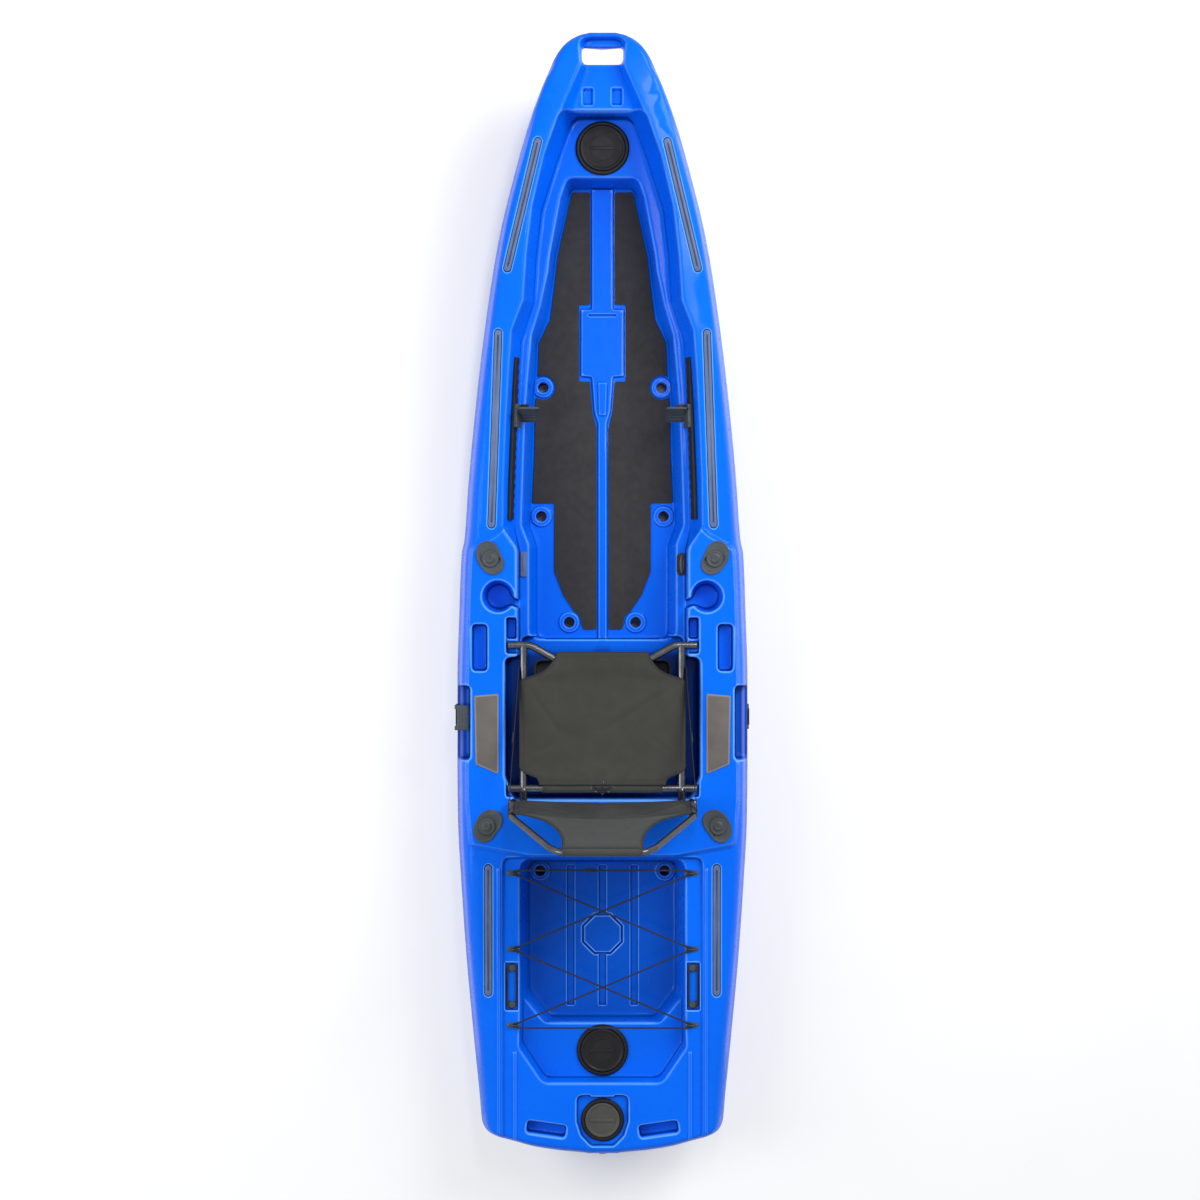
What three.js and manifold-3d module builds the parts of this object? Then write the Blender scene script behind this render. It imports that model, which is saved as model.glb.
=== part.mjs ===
// Fishing kayak: a one-piece moulded sit-on-top hull with its fittings and its framed seat.
// Millimetres. +Y is the bow, +X is starboard, +Z is up, and Z = 0 is the keel's flat bottom.
import * as THREE from "three";
import { mergeVertices } from "three/addons/utils/BufferGeometryUtils.js";
import Module from "manifold-3d";

const wasm = await Module();
wasm.setup();

// Driving dimensions of the hull
const LENGTH = 3660;
const BEAM = 960;
const DECK_HEIGHT = 300;
const BOW_HEIGHT = 395;
const STERN_HEIGHT = 292;
const WALL = 4.5;
const GAP = 0.3;
const OVERRUN = 40;

// Heights of the floors and ledges moulded into the hull
const FOOTWELL_FLOOR = 115;
const LEDGE_HEIGHT = 215;
const FORE_TRAY_FLOOR = 345;
const SEAT_WELL_FLOOR = 150;
const TANK_FLOOR = 150;
const TANK_SHELF = 222;
const PLATEAU_RISE = 15;
const PLATEAU_SLOPE = 12;
const STERN_BAND_DROP = 10;
const STERN_RECESS_DROP = 18;
const RIB_RISE = 9;
const GROOVE_DEPTH = 2.5;
const TANK_GROOVE_WIDTH = 25;
const TANK_PANEL_RADIUS = 74;
const TANK_PANEL_LINE = 7;

// Recesses, holes and hand holds moulded into the hull
const BOW_SLOT_LENGTH = 134;
const BOW_SLOT_WIDTH = 56;
const BOW_SLOT_CORNER = 14;
const FOOTPRINT_LENGTH = 56;
const FOOTPRINT_WIDTH = 38;
const SCUPPER_RADIUS = 17;
const SCUPPER_BOSS = 36;
const SCUPPER_BOSS_RISE = 6;
const CUP_RIM_RADIUS = 54;
const CUP_FLOOR_RADIUS = 40;
const CUP_DEPTH = 95;
const MUG_SLOT_WIDTH = 30;
const MUG_SLOT_LENGTH = 84;
const MUG_SLOT_DEPTH = 62;
const MUG_SLOT_TURN = 160;
const TACKLE_SLOT_LENGTH = 156;
const TACKLE_SLOT_WIDTH = 53;
const TACKLE_SLOT_DEPTH = 42;
const SIDE_SCOOP_SPACE = 6;
const SIDE_SCOOP_LENGTH = 248;
const SIDE_SCOOP_DEPTH = 110;
const SIDE_SCOOP_CORNER = 17;
const STERN_GRIP_LENGTH = 132;
const STERN_GRIP_WIDTH = 44;
const STERN_GRIP_DEPTH = 45;
const STERN_GRIP_TURN = 8;
const NOTCH_WIDTH = 56;
const NOTCH_LENGTH = 58;
const NOTCH_SIDE_SPACE = 10;
const SEAT_WELL_LEAD = 29;
const SEAT_WELL_STEP = 39;
const SEAT_WELL_SIDE = 50;
const SEAT_WELL_TAPER = 22;
const SEAT_WELL_TAIL = 38;
const CATCH_LENGTH = 72;
const CATCH_WIDTH = 36;
const CATCH_DEPTH = 55;
const DRAIN_HEIGHT = 236;
const DRAIN_BOSS_RADIUS = 26;
const DRAIN_BOSS_DEPTH = 22;

// Screw hatches: a rim with a collar through the deck, a seal and a lid
const BOW_HATCH_RADIUS = 89;
const REAR_HATCH_RADIUS = 85;
const STERN_HATCH_RADIUS = 71;
const BOW_HATCH_SPACE = 8;
const REAR_HATCH_SPACE = 3.75;
const HATCH_FLANGE = 14;
const HATCH_SEAT = 5;
const HATCH_LIP = 10;
const COLLAR_INSET = 10;
const COLLAR_WALL = 4;
const COLLAR_DEPTH = 28;
const THREAD_CLEARANCE = 1;
const LID_CLEARANCE = 1.5;
const LID_THICKNESS = 6;
const LID_DISH = 2.5;
const LID_SKIRT_DEPTH = 18;
const LID_EDGE = 7;
const SEAL_THICKNESS = 3;
const SEAL_WIDTH = 5;
const GRIP_BAR_WIDTH = 12;
const GRIP_BAR_LENGTH = 84;

// Gear tracks: slotted rails let into the deck
const TRACK_WIDTH = 20;
const TRACK_HEIGHT = 12;
const TRACK_MARGIN = 5;
const TRACK_MOUTH = 8;
const TRACK_THROAT = 13;
const TRACK_LIP = 3;
const TRACK_END = 16;

// Floor pads, side pads and the tray under the seat
const PAD_THICKNESS = 5;
const PAD_MARGIN = 4;
const SIDE_PAD_MARGIN = 18;
const TRAY_WIDTH = 454;
const TRAY_LENGTH = 290;
const TRAY_HEIGHT = 26;
const TRAY_WALL = 4;
const TRAY_CORNER = 30;

// Flush rod holders with their caps
const ROD_TUBE_RADIUS = 24;
const ROD_TUBE_WALL = 3;
const BORE_CLEARANCE = 1;
const ROD_TUBE_DEPTH = 215;
const ROD_FLANGE_THICKNESS = 5;
const FRONT_HOLDER_TURN = -27;
const REAR_HOLDER_TURN = 33;
const CAP_RADIUS = 27;
const CAP_THICKNESS = 4;
const CAP_PLUG_DEPTH = 14;
const CAP_TAB_RADIUS = 11;
const CAP_TAB_HEIGHT = 4;

// Foot braces: toothed rails with sliding pedals and sprung catches
const RAIL_THICKNESS = 10;
const RAIL_STANDOFF = 0.8;
const RAIL_WIDTH = 30;
const RAIL_TEETH = 16;
const RAIL_TOOTH = 5;
const SLIDER_LENGTH = 78;
const SLIDER_THICKNESS = 12;
const SLIDER_WIDTH = 34;
const PEDAL_REACH = 66;
const PEDAL_BOTTOM = 224;
const PEDAL_TOP = 318;
const PEDAL_LEAN = 38;
const PEDAL_BOW = 9;
const PEDAL_THICKNESS = 7;
const CATCH_LEVER_LENGTH = 30;
const CATCH_LEVER_WIDTH = 18;
const CATCH_LEVER_THICKNESS = 5;

// Carry handles
const GRIP_LENGTH = 82;
const GRIP_WIDTH = 40;
const GRIP_THICKNESS = 14;
const STRAP_THICKNESS = 3;
const HANDLE_ARM = 112;
const HANDLE_PIVOT_HEIGHT = 178;
const HANDLE_ANCHOR_LENGTH = 56;
const HANDLE_ANCHOR_HEIGHT = 24;
const HANDLE_ANCHOR_THICKNESS = 7;
const HANDLE_CLEARANCE = 1.5;
const HANDLE_INBOARD = 28;
const REAR_HANDLE_LENGTH = 148;
const REAR_HANDLE_WIDTH = 34;
const REAR_HANDLE_THICKNESS = 9;
const REAR_HANDLE_BAR = 5;
const REAR_HANDLE_BLOCK = 24;
const REAR_HANDLE_RECESS = 13;

// Shock cord and its pad eyes
const CORD_DIAMETER = 6;
const EYE_BASE_LENGTH = 34;
const EYE_BASE_WIDTH = 14;
const EYE_BASE_THICKNESS = 3;
const EYE_RADIUS = 9;
const EYE_WIRE = 3;
const CORD_HOOK_LENGTH = 40;
const CORD_HOOK_WIDTH = 12;

// Drain plug and the fittings on the cockpit's side ledges
const DRAIN_PLUG_RADIUS = 16;
const DRAIN_PLUG_THICKNESS = 5;
const DRAIN_STEM_RADIUS = 8;
const DRAIN_STEM_LENGTH = 18;
const COIN_SLOT_WIDTH = 3;
const LEDGE_PLATE_LENGTH = 82;
const LEDGE_PLATE_WIDTH = 22;
const LEDGE_PLATE_THICKNESS = 8;
const CABLE_PORT_LENGTH = 62;
const CABLE_PORT_WIDTH = 26;
const CABLE_PORT_HEIGHT = 16;

// The framed seat
const SEAT_TUBE = 12.7;
const BACK_TUBE = 11;
const SEAT_HEIGHT = 303;
const SEAT_SPAN = 612;
const SEAT_RAIL_SPACING = 516;
const SEAT_FRONT = -157;
const SEAT_FRONT_DIP = -206;
const SEAT_DIP_SPAN = 310;
const SEAT_REAR = -625;
const BACK_PIVOT_Y = -668;
const BACK_PIVOT_HEIGHT = 345;
const BACK_SPACING = 580;
const BACK_BEND_Y = -702;
const BACK_BEND_HEIGHT = 500;
const BACK_TOP_Y = -793;
const BACK_TOP_HEIGHT = 735;
const BACK_TOP_SPAN = 330;
const PIVOT_PIN_RADIUS = 5;
const SLING_THICKNESS = 4;
const SLING_SAG = 20;
const BACK_SLING_RISE = 30;
const STRAP_WEBBING = 25;
const STRAP_FRONT = -232;
const STRAP_REAR = -693;
const STRAP_REAR_HEIGHT = 460;

const HALF_LENGTH = LENGTH / 2;
const HALF_BEAM = BEAM / 2;
const STERN_BAND = STERN_HEIGHT - STERN_BAND_DROP;
const STERN_RECESS = STERN_BAND - STERN_RECESS_DROP;
const PLATEAU = DECK_HEIGHT + PLATEAU_RISE;

// The hull's shape: shares of the half length from the middle, then of the half beam or height
const half_beam_shares = [
  [-1, 0.1], [-0.9946, 0.296], [-0.9875, 0.476], [-0.98, 0.585], [-0.973, 0.684], [-0.966, 0.755],
  [-0.959, 0.799], [-0.945, 0.827], [-0.9, 0.845], [-0.8, 0.885], [-0.65, 0.938], [-0.5, 0.977],
  [-0.4, 0.996], [-0.3, 1], [-0.15, 1], [-0.04, 0.988], [0.08, 0.97], [0.1, 0.953], [0.21, 0.922],
  [0.35, 0.871], [0.5, 0.8], [0.64, 0.711], [0.78, 0.575], [0.852, 0.49], [0.9, 0.42],
  [0.941, 0.35], [0.97, 0.282], [0.986, 0.221], [0.9964, 0.146], [1, 0.09],
];
const keel_rise_shares = [
  [-1, 0.34], [-0.985, 0.25], [-0.965, 0.17], [-0.93, 0.1], [-0.87, 0.04], [-0.75, 0], [0.5, 0],
  [0.62, 0.01], [0.75, 0.03], [0.85, 0.07], [0.9, 0.12], [0.925, 0.22], [0.94, 0.45], [0.95, 0.78],
  [0.965, 0.95], [1, 1],
];
const sheer_shares = [
  [-1, -1], [-0.6, -1], [-0.45, 0], [0.15, 0], [0.3, 0.06], [0.5, 0.28], [0.7, 0.63], [0.9, 0.95],
  [0.97, 1], [1, 0.85],
];
const fullness_shares = [[-1, 0.75], [-0.8, 1], [0.3, 1], [0.6, 0.7], [0.8, 0.3], [0.92, 0], [1, 0]];

// Half of a cross-section: share of the half beam, share of the height from keel to deck
const middle_section_shares = [
  [0, 0], [0.1, 0], [0.25, 0.05], [0.42, 0.05], [0.56, 0], [0.68, 0], [0.82, 0.07], [0.92, 0.22],
  [0.975, 0.42], [1, 0.64], [0.985, 0.8], [0.955, 0.93], [0.906, 1], [0.45, 1.005], [0, 1.005],
];
const end_section_shares = [
  [0, 0], [0.06, 0.02], [0.16, 0.07], [0.3, 0.14], [0.45, 0.23], [0.58, 0.33], [0.71, 0.45],
  [0.83, 0.58], [0.93, 0.71], [1, 0.82], [0.99, 0.9], [0.965, 0.96], [0.92, 1], [0.45, 1], [0, 1],
];

// A smooth value between the rows of a table, which never swings past a row
function smooth(table, at) {
  const last = table.length - 1;
  if (at <= table[0][0]) return table[0][1];
  if (at >= table[last][0]) return table[last][1];
  const row = table.findIndex((entry) => entry[0] > at) - 1;
  const slope = (i) => (table[i + 1][1] - table[i][1]) / (table[i + 1][0] - table[i][0]);
  const tangent = (i) => {
    if (i === 0 || i === last) return 0;
    const before = slope(i - 1);
    const after = slope(i);
    return before * after <= 0 ? 0 : (2 * before * after) / (before + after);
  };
  const width = table[row + 1][0] - table[row][0];
  const s = (at - table[row][0]) / width;
  const rise = table[row + 1][1] - table[row][1];
  const a = tangent(row) * width;
  const b = tangent(row + 1) * width;
  return table[row][1] + s * (a + s * (3 * rise - 2 * a - b + s * (a + b - 2 * rise)));
}

function deckHeight(y) {
  const share = smooth(sheer_shares, y / HALF_LENGTH);
  const target = share < 0 ? STERN_HEIGHT : BOW_HEIGHT;
  return THREE.MathUtils.lerp(DECK_HEIGHT, target, Math.abs(share));
}

function keelHeight(y) {
  return smooth(keel_rise_shares, y / HALF_LENGTH) * DECK_HEIGHT;
}

// The same shape with each corner kept once
function welded(geometry) {
  const bare = geometry.clone();
  bare.deleteAttribute("normal");
  bare.deleteAttribute("uv");
  return mergeVertices(bare);
}

// Closed meshes become solids for cutting and joining, and come back as geometry
function solid(geometry) {
  const merged = welded(geometry);
  const vertProperties = new Float32Array(merged.attributes.position.array);
  const triVerts = new Uint32Array(merged.index.array);
  return new wasm.Manifold(new wasm.Mesh({ numProp: 3, vertProperties, triVerts }));
}

function geometryOf(body) {
  const mesh = body.getMesh();
  const geometry = new THREE.BufferGeometry();
  geometry.setAttribute("position", new THREE.BufferAttribute(mesh.vertProperties, 3));
  geometry.setIndex(new THREE.BufferAttribute(mesh.triVerts, 1));
  return geometry;
}

function joined(geometries) {
  return geometries.map(solid).reduce((all, piece) => all.add(piece));
}

// A closed skin over rings of equally many points, with a flat cap at each end
function loft(rings) {
  const count = rings[0].length;
  const positions = rings.flat().flatMap((p) => [p.x, p.y, p.z]);
  const index = [];
  for (let r = 0; r < rings.length - 1; r += 1) {
    for (let i = 0; i < count; i += 1) {
      const next = (i + 1) % count;
      const a = r * count + i;
      const b = r * count + next;
      index.push(a, b, b + count, a, b + count, a + count);
    }
  }
  const addCap = (ring, offset, forward) => {
    const normal = new THREE.Vector3();
    ring.forEach((p, i) => normal.add(p.clone().cross(ring[(i + 1) % count])));
    const side = new THREE.Vector3(1, 0, 0);
    if (Math.abs(normal.x) > Math.abs(normal.z)) side.set(0, 0, 1);
    const up = normal.clone().normalize().cross(side).normalize();
    side.copy(up).cross(normal.normalize());
    const flat = ring.map((p) => new THREE.Vector2(p.dot(side), p.dot(up)));
    for (const [a, b, c] of THREE.ShapeUtils.triangulateShape(flat, [])) {
      if (forward) index.push(offset + a, offset + b, offset + c);
      else index.push(offset + a, offset + c, offset + b);
    }
  };
  addCap(rings[0], 0, false);
  addCap(rings[rings.length - 1], (rings.length - 1) * count, true);
  const geometry = new THREE.BufferGeometry();
  geometry.setAttribute("position", new THREE.Float32BufferAttribute(positions, 3));
  geometry.setIndex(index);
  return geometry;
}

// One cross-section of the hull, drawn in by a wall
function hullRing(y, inset) {
  const at = y / HALF_LENGTH;
  const half = smooth(half_beam_shares, at) * HALF_BEAM - inset;
  const keel = keelHeight(y) + inset;
  const deck = deckHeight(y) - inset;
  const fullness = smooth(fullness_shares, at);
  const side = middle_section_shares.map(([u, v], i) => {
    const [endU, endV] = end_section_shares[i];
    const x = THREE.MathUtils.lerp(endU, u, fullness) * half;
    const z = keel + THREE.MathUtils.lerp(endV, v, fullness) * (deck - keel);
    return new THREE.Vector3(x, y, z);
  });
  const port = side.slice(1, -1).reverse().map((p) => new THREE.Vector3(-p.x, p.y, p.z));
  return side.concat(port).reverse();
}

function hullLoft(inset) {
  const shift = (HALF_LENGTH - inset) / HALF_LENGTH;
  const rings = half_beam_shares.map(([at]) => {
    const ring = hullRing(at * HALF_LENGTH, inset);
    ring.forEach((p) => { p.y *= shift; });
    return ring;
  });
  return loft(rings);
}

// Outlines: starboard points from the bow aft, mirrored into a closed loop
function closedLoop(starboard) {
  const port = starboard.map((p) => new THREE.Vector2(-p.x, p.y));
  return [...starboard].reverse().concat(port);
}

function bothSides(half_shares) {
  return closedLoop(line(half_shares));
}

// The outline moved outward by a distance, edge by edge
function grown(outline, distance) {
  const count = outline.length;
  return outline.map((point, i) => {
    const before = point.clone().sub(outline[(i + count - 1) % count]).normalize();
    const after = outline[(i + 1) % count].clone().sub(point).normalize();
    const a = new THREE.Vector2(before.y, -before.x);
    const b = new THREE.Vector2(after.y, -after.x);
    const reach = distance / (1 + a.dot(b));
    return point.clone().addScaledVector(a.add(b), reach);
  });
}

function atHeight(outline, z) {
  return outline.map((p) => new THREE.Vector3(p.x, p.y, z));
}

// A pocket with sloped walls from its floor outline to its rim outline, straight above the rim
function pocket(rim, floor, rimHeight, floorHeight, margin) {
  return loft([
    atHeight(grown(floor, margin), floorHeight - margin),
    atHeight(grown(rim, margin), rimHeight),
    atHeight(grown(rim, margin), BOW_HEIGHT + OVERRUN),
  ]);
}

function prism(outline, bottom, top) {
  return loft([atHeight(outline, bottom), atHeight(outline, top)]);
}

const fore_tray_rim_shares = [[0.167, 1.02], [0.146, 0.941], [0.282, 0.861], [0.376, 0.8]];
const fore_tray_floor_shares = [[0.15, 1.02], [0.115, 0.941], [0.209, 0.861], [0.3, 0.8]];
const cockpit_rim_shares = [
  [0.289, 0.865], [0.398, 0.784], [0.48, 0.695], [0.52, 0.609], [0.541, 0.529], [0.62, 0.476],
  [0.641, 0.402], [0.661, 0.309], [0.677, 0.209], [0.68, 0.123], [0.585, 0.087], [0.585, -0.12],
];
const cockpit_ledge_shares = [
  [0.2, 0.862], [0.313, 0.784], [0.42, 0.695], [0.457, 0.609], [0.473, 0.53], [0.56, 0.46],
  [0.572, 0.402], [0.584, 0.309], [0.594, 0.209], [0.6, 0.12], [0.57, 0.082], [0.57, -0.118],
];
const footwell_rim_shares = [
  [0.245, 0.757], [0.292, 0.721], [0.364, 0.62], [0.378, 0.588], [0.43, 0.525], [0.49, 0.473],
  [0.514, 0.405], [0.531, 0.348], [0.545, 0.255], [0.56, 0.13], [0.508, 0.095], [0.508, -0.077],
];
const footwell_floor_shares = [
  [0.225, 0.744], [0.24, 0.72], [0.33, 0.62], [0.35, 0.57], [0.385, 0.506], [0.46, 0.463],
  [0.466, 0.405], [0.487, 0.348], [0.492, 0.255], [0.507, 0.13], [0.458, 0.092], [0.458, -0.077],
];
const tank_rim_shares = [[0.568, -0.468], [0.568, -0.762], [0.575, -0.807], [0.409, -0.871]];
const tank_shelf_shares = [[0.545, -0.474], [0.545, -0.762], [0.55, -0.8], [0.39, -0.8645]];
const tank_well_rim_shares = [[0.545, -0.474], [0.545, -0.722], [0.4, -0.768]];
const tank_well_floor_shares = [[0.507, -0.479], [0.507, -0.709], [0.357, -0.761]];
const stern_band_shares = [[0.687, -0.464], [0.687, -1.03]];
const stern_recess_shares = [[0.18, -0.891], [0.18, -0.94], [0.15, -0.965], [0.08, -0.984]];
const plateau_shares = [
  [0.66, 0.13], [0.738, 0.1125], [0.91, 0.0875], [0.925, 0], [0.938, -0.15], [0.938, -0.36],
  [0.912, -0.446], [0.493, -0.466],
];

// Where things sit along and across the hull, as shares of the half length and half beam
const stern_hatch_place_share = -0.937;
const rib_shares = [
  [0.078, 0.744], [0.078, 0.525], [0.153, 0.525], [0.153, 0.402], [0.078, 0.4], [0.06, 0.34],
  [0.034, 0.316], [0.034, -0.077],
];
const scupper_places_share = [[0.412, 0.382], [0.425, 0.147], [0.231, -0.046]];
const tank_scupper_place_share = [0.431, -0.497];
const tank_groove_sides_share = [-0.22, 0, 0.22];
const tank_groove_ends_share = [-0.487, -0.742];
const tank_panel_place_share = -0.612;
const footprint_place_share = [0.0986, 0.889];
const cup_place_share = [0.711, 0.001];
const tackle_slot_place_share = [0.836, -0.0904];
const side_scoop_place_share = -0.225;
const stern_grip_place_share = [0.384, -0.953];
const bow_slot_place_share = 0.9616;
const notch_front_share = -0.036;
const track_places_share = {
  bow: [[0.432, 0.812], [0.651, 0.579]],
  middle: [[0.708, 0.476], [0.757, 0.124]],
  rear: [[0.778, -0.479], [0.778, -0.713]],
};
const rod_holder_places_share = { front: [0.763, 0.068], rear: [0.785, -0.409] };
const rail_ends_share = [[0.599, 0.43], [0.638, 0.139]];
const pedal_place_share = 0.325;
const side_handle_place_share = -0.216;
const rear_handle_place_share = [0.62, -0.697];
const eye_places_share = [-0.494, -0.63, -0.766];
const eye_side_share = 0.608;
const cord_hook_place_share = -0.085;
const ledge_fitting_place_share = [0.541, 0.059];
const floor_pad_shares = [
  [0.085, 0.738], [0.209, 0.738], [0.219, 0.732], [0.313, 0.62], [0.333, 0.57], [0.365, 0.506],
  [0.443, 0.463], [0.45, 0.405], [0.469, 0.348], [0.474, 0.255], [0.49, 0.171], [0.335, 0.171],
  [0.335, 0.047], [0.273, 0.004], [0.161, -0.04], [0.133, -0.059], [0.042, -0.059], [0.042, 0.307],
  [0.068, 0.336], [0.088, 0.393], [0.162, 0.393], [0.162, 0.533], [0.085, 0.533],
];
const side_pad_outer_shares = [[0.863, -0.298], [0.872, -0.176]];
const side_pad_inner_shares = [-0.1725, -0.316];

const BOW_HATCH_Y = cockpit_ledge_shares[0][1] * HALF_LENGTH - BOW_HATCH_RADIUS - BOW_HATCH_SPACE;
const REAR_HATCH_Y = tank_shelf_shares[3][1] * HALF_LENGTH + REAR_HATCH_RADIUS + REAR_HATCH_SPACE;
const STERN_HATCH_Y = stern_hatch_place_share * HALF_LENGTH;
const HATCHES = [
  { name: "bow_hatch", radius: BOW_HATCH_RADIUS, y: BOW_HATCH_Y, floor: LEDGE_HEIGHT },
  { name: "rear_hatch", radius: REAR_HATCH_RADIUS, y: REAR_HATCH_Y, floor: TANK_SHELF },
  { name: "stern_hatch", radius: STERN_HATCH_RADIUS, y: STERN_HATCH_Y, floor: STERN_RECESS },
];
const RAIL_X = SEAT_RAIL_SPACING / 2;
const SEAT_NOTCH_FLOOR = SEAT_HEIGHT - SEAT_TUBE - GAP;

function place(share) {
  return new THREE.Vector2(share[0] * HALF_BEAM, share[1] * HALF_LENGTH);
}

function line(shares) {
  return shares.map(place);
}

// A long hole or bar with round ends, centred on the origin, with its length along X
function stadium(length, width, steps = 4) {
  const r = width / 2;
  const points = [];
  for (const side of [1, -1]) {
    for (let i = 0; i <= steps; i += 1) {
      const a = (i / steps - 1 / 2) * Math.PI;
      points.push(new THREE.Vector2(side * (length / 2 - r + r * Math.cos(a)), side * r * Math.sin(a)));
    }
  }
  return points;
}

function roundedBox(length, width, corner, steps = 2) {
  const points = [];
  const signs = [[1, -1], [1, 1], [-1, 1], [-1, -1]];
  signs.forEach(([sx, sy], turn) => {
    for (let i = 0; i <= steps; i += 1) {
      const a = (turn - 1 + i / steps) * Math.PI / 2;
      const x = sx * (length / 2 - corner) + corner * Math.cos(a);
      const y = sy * (width / 2 - corner) + corner * Math.sin(a);
      points.push(new THREE.Vector2(x, y));
    }
  });
  return points;
}

function circle(radius, steps = 16) {
  return stadium(2 * radius, 2 * radius, steps / 2).filter((p, i) => i !== steps / 2 && i !== steps + 1);
}

function moved(outline, x, y, angle = 0) {
  const centre = new THREE.Vector2(x, y);
  return outline.map((p) => p.clone().rotateAround(new THREE.Vector2(), angle).add(centre));
}

// A shape made for starboard, and its mirror image for port
function mirrored(geometry) {
  const copy = welded(geometry).scale(-1, 1, 1);
  const index = Array.from(copy.index.array);
  for (let i = 0; i < index.length; i += 3) [index[i], index[i + 1]] = [index[i + 1], index[i]];
  copy.setIndex(index);
  return copy;
}

// A profile of radius and height turned about the vertical axis
function turned(profile, segments = 24) {
  const closed = profile[0][0] === 0 ? profile : profile.concat([profile[0]]);
  const points = closed.map(([r, z]) => new THREE.Vector2(r, z));
  return new THREE.LatheGeometry(points, segments).rotateX(Math.PI / 2);
}

// A path through chosen points, one step for each
class Route extends THREE.Curve {
  constructor(points) {
    super();
    this.points = points;
  }

  getPointAt(share) {
    const at = share * (this.points.length - 1);
    const from = Math.min(Math.floor(at + 1e-6), this.points.length - 2);
    return this.points[from].clone().lerp(this.points[from + 1], at - from);
  }

  getTangentAt(share) {
    const at = Math.round(share * (this.points.length - 1));
    const here = this.points[at];
    const before = at > 0 ? here.clone().sub(this.points[at - 1]).normalize() : new THREE.Vector3();
    const next = this.points[at + 1];
    const after = next ? next.clone().sub(here).normalize() : new THREE.Vector3();
    return before.add(after).normalize();
  }
}

// Corners of a path rounded by a distance along each side
function rounded(points, distance, steps = 4) {
  const path = [points[0]];
  for (let i = 1; i < points.length - 1; i += 1) {
    const into = points[i].clone().sub(points[i - 1]).setLength(distance);
    const out = points[i + 1].clone().sub(points[i]).setLength(distance);
    const bend = new THREE.QuadraticBezierCurve3(
      points[i].clone().sub(into), points[i], points[i].clone().add(out));
    path.push(...bend.getPoints(steps));
  }
  path.push(points[points.length - 1]);
  return path;
}

function tube(points, radius, sides = 8) {
  const section = new THREE.Shape(circle(radius, sides));
  const extrudePath = new Route(points);
  return new THREE.ExtrudeGeometry(section, { steps: points.length - 1, extrudePath });
}

function vector(x, y, z) {
  return new THREE.Vector3(x, y, z);
}

// The frame of a straight run on the deck: X along it, Z square to the deck
function deckFrame([a, b]) {
  const from = vector(a.x, a.y, deckHeight(a.y));
  const to = vector(b.x, b.y, deckHeight(b.y));
  const along = to.clone().sub(from).normalize();
  const across = vector(0, 0, 1).cross(along).normalize();
  const up = along.clone().cross(across);
  const middle = from.clone().add(to).divideScalar(2);
  return new THREE.Matrix4().makeBasis(along, across, up).setPosition(middle);
}

function runLength([a, b]) {
  return vector(a.x, a.y, deckHeight(a.y)).distanceTo(vector(b.x, b.y, deckHeight(b.y)));
}

function trackRecess(shares, margin) {
  const run = line(shares);
  const length = runLength(run) + 2 * (TRACK_MARGIN + margin);
  const outline = stadium(length, TRACK_WIDTH + 2 * (TRACK_MARGIN + margin));
  return prism(outline, -TRACK_HEIGHT - margin, OVERRUN).applyMatrix4(deckFrame(run));
}

// A straight-sided recess from its floor up through the deck above it
function recess(outline, floor, margin) {
  return prism(grown(outline, margin), floor - margin, BOW_HEIGHT + OVERRUN);
}

function cupRecess(margin) {
  const { x, y } = place(cup_place_share);
  const rim = moved(circle(CUP_RIM_RADIUS), x, y);
  const floor = moved(circle(CUP_FLOOR_RADIUS), x, y);
  return pocket(rim, floor, PLATEAU, PLATEAU - CUP_DEPTH, margin);
}

function mugSlot(margin) {
  const { x, y } = place(cup_place_share);
  const turn = THREE.MathUtils.degToRad(MUG_SLOT_TURN);
  const reach = MUG_SLOT_LENGTH / 2;
  const outline = moved(stadium(MUG_SLOT_LENGTH, MUG_SLOT_WIDTH), x + reach * Math.cos(turn),
    y + reach * Math.sin(turn), turn);
  return recess(outline, PLATEAU - MUG_SLOT_DEPTH, margin);
}

function tackleSlot(margin) {
  const { x, y } = place(tackle_slot_place_share);
  const outline = roundedBox(TACKLE_SLOT_WIDTH, TACKLE_SLOT_LENGTH, TACKLE_SLOT_WIDTH / 3);
  return recess(moved(outline, x, y), PLATEAU - TACKLE_SLOT_DEPTH, margin);
}

function sideScoop(margin) {
  const y = side_scoop_place_share * HALF_LENGTH;
  const grip = HALF_BEAM + HANDLE_CLEARANCE + STRAP_THICKNESS - HANDLE_INBOARD - GRIP_WIDTH / 2;
  const x = grip - SIDE_SCOOP_SPACE;
  const width = HALF_BEAM - x + OVERRUN;
  const outline = roundedBox(width, SIDE_SCOOP_LENGTH, SIDE_SCOOP_CORNER);
  return recess(moved(outline, x + width / 2, y), PLATEAU - SIDE_SCOOP_DEPTH, margin);
}

function sternGrip(margin) {
  const { x, y } = place(stern_grip_place_share);
  const slant = THREE.MathUtils.degToRad(STERN_GRIP_TURN);
  const outline = roundedBox(STERN_GRIP_LENGTH, STERN_GRIP_WIDTH, STERN_GRIP_WIDTH / 3);
  return recess(moved(outline, x, y, slant), STERN_BAND - STERN_GRIP_DEPTH, margin);
}

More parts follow.
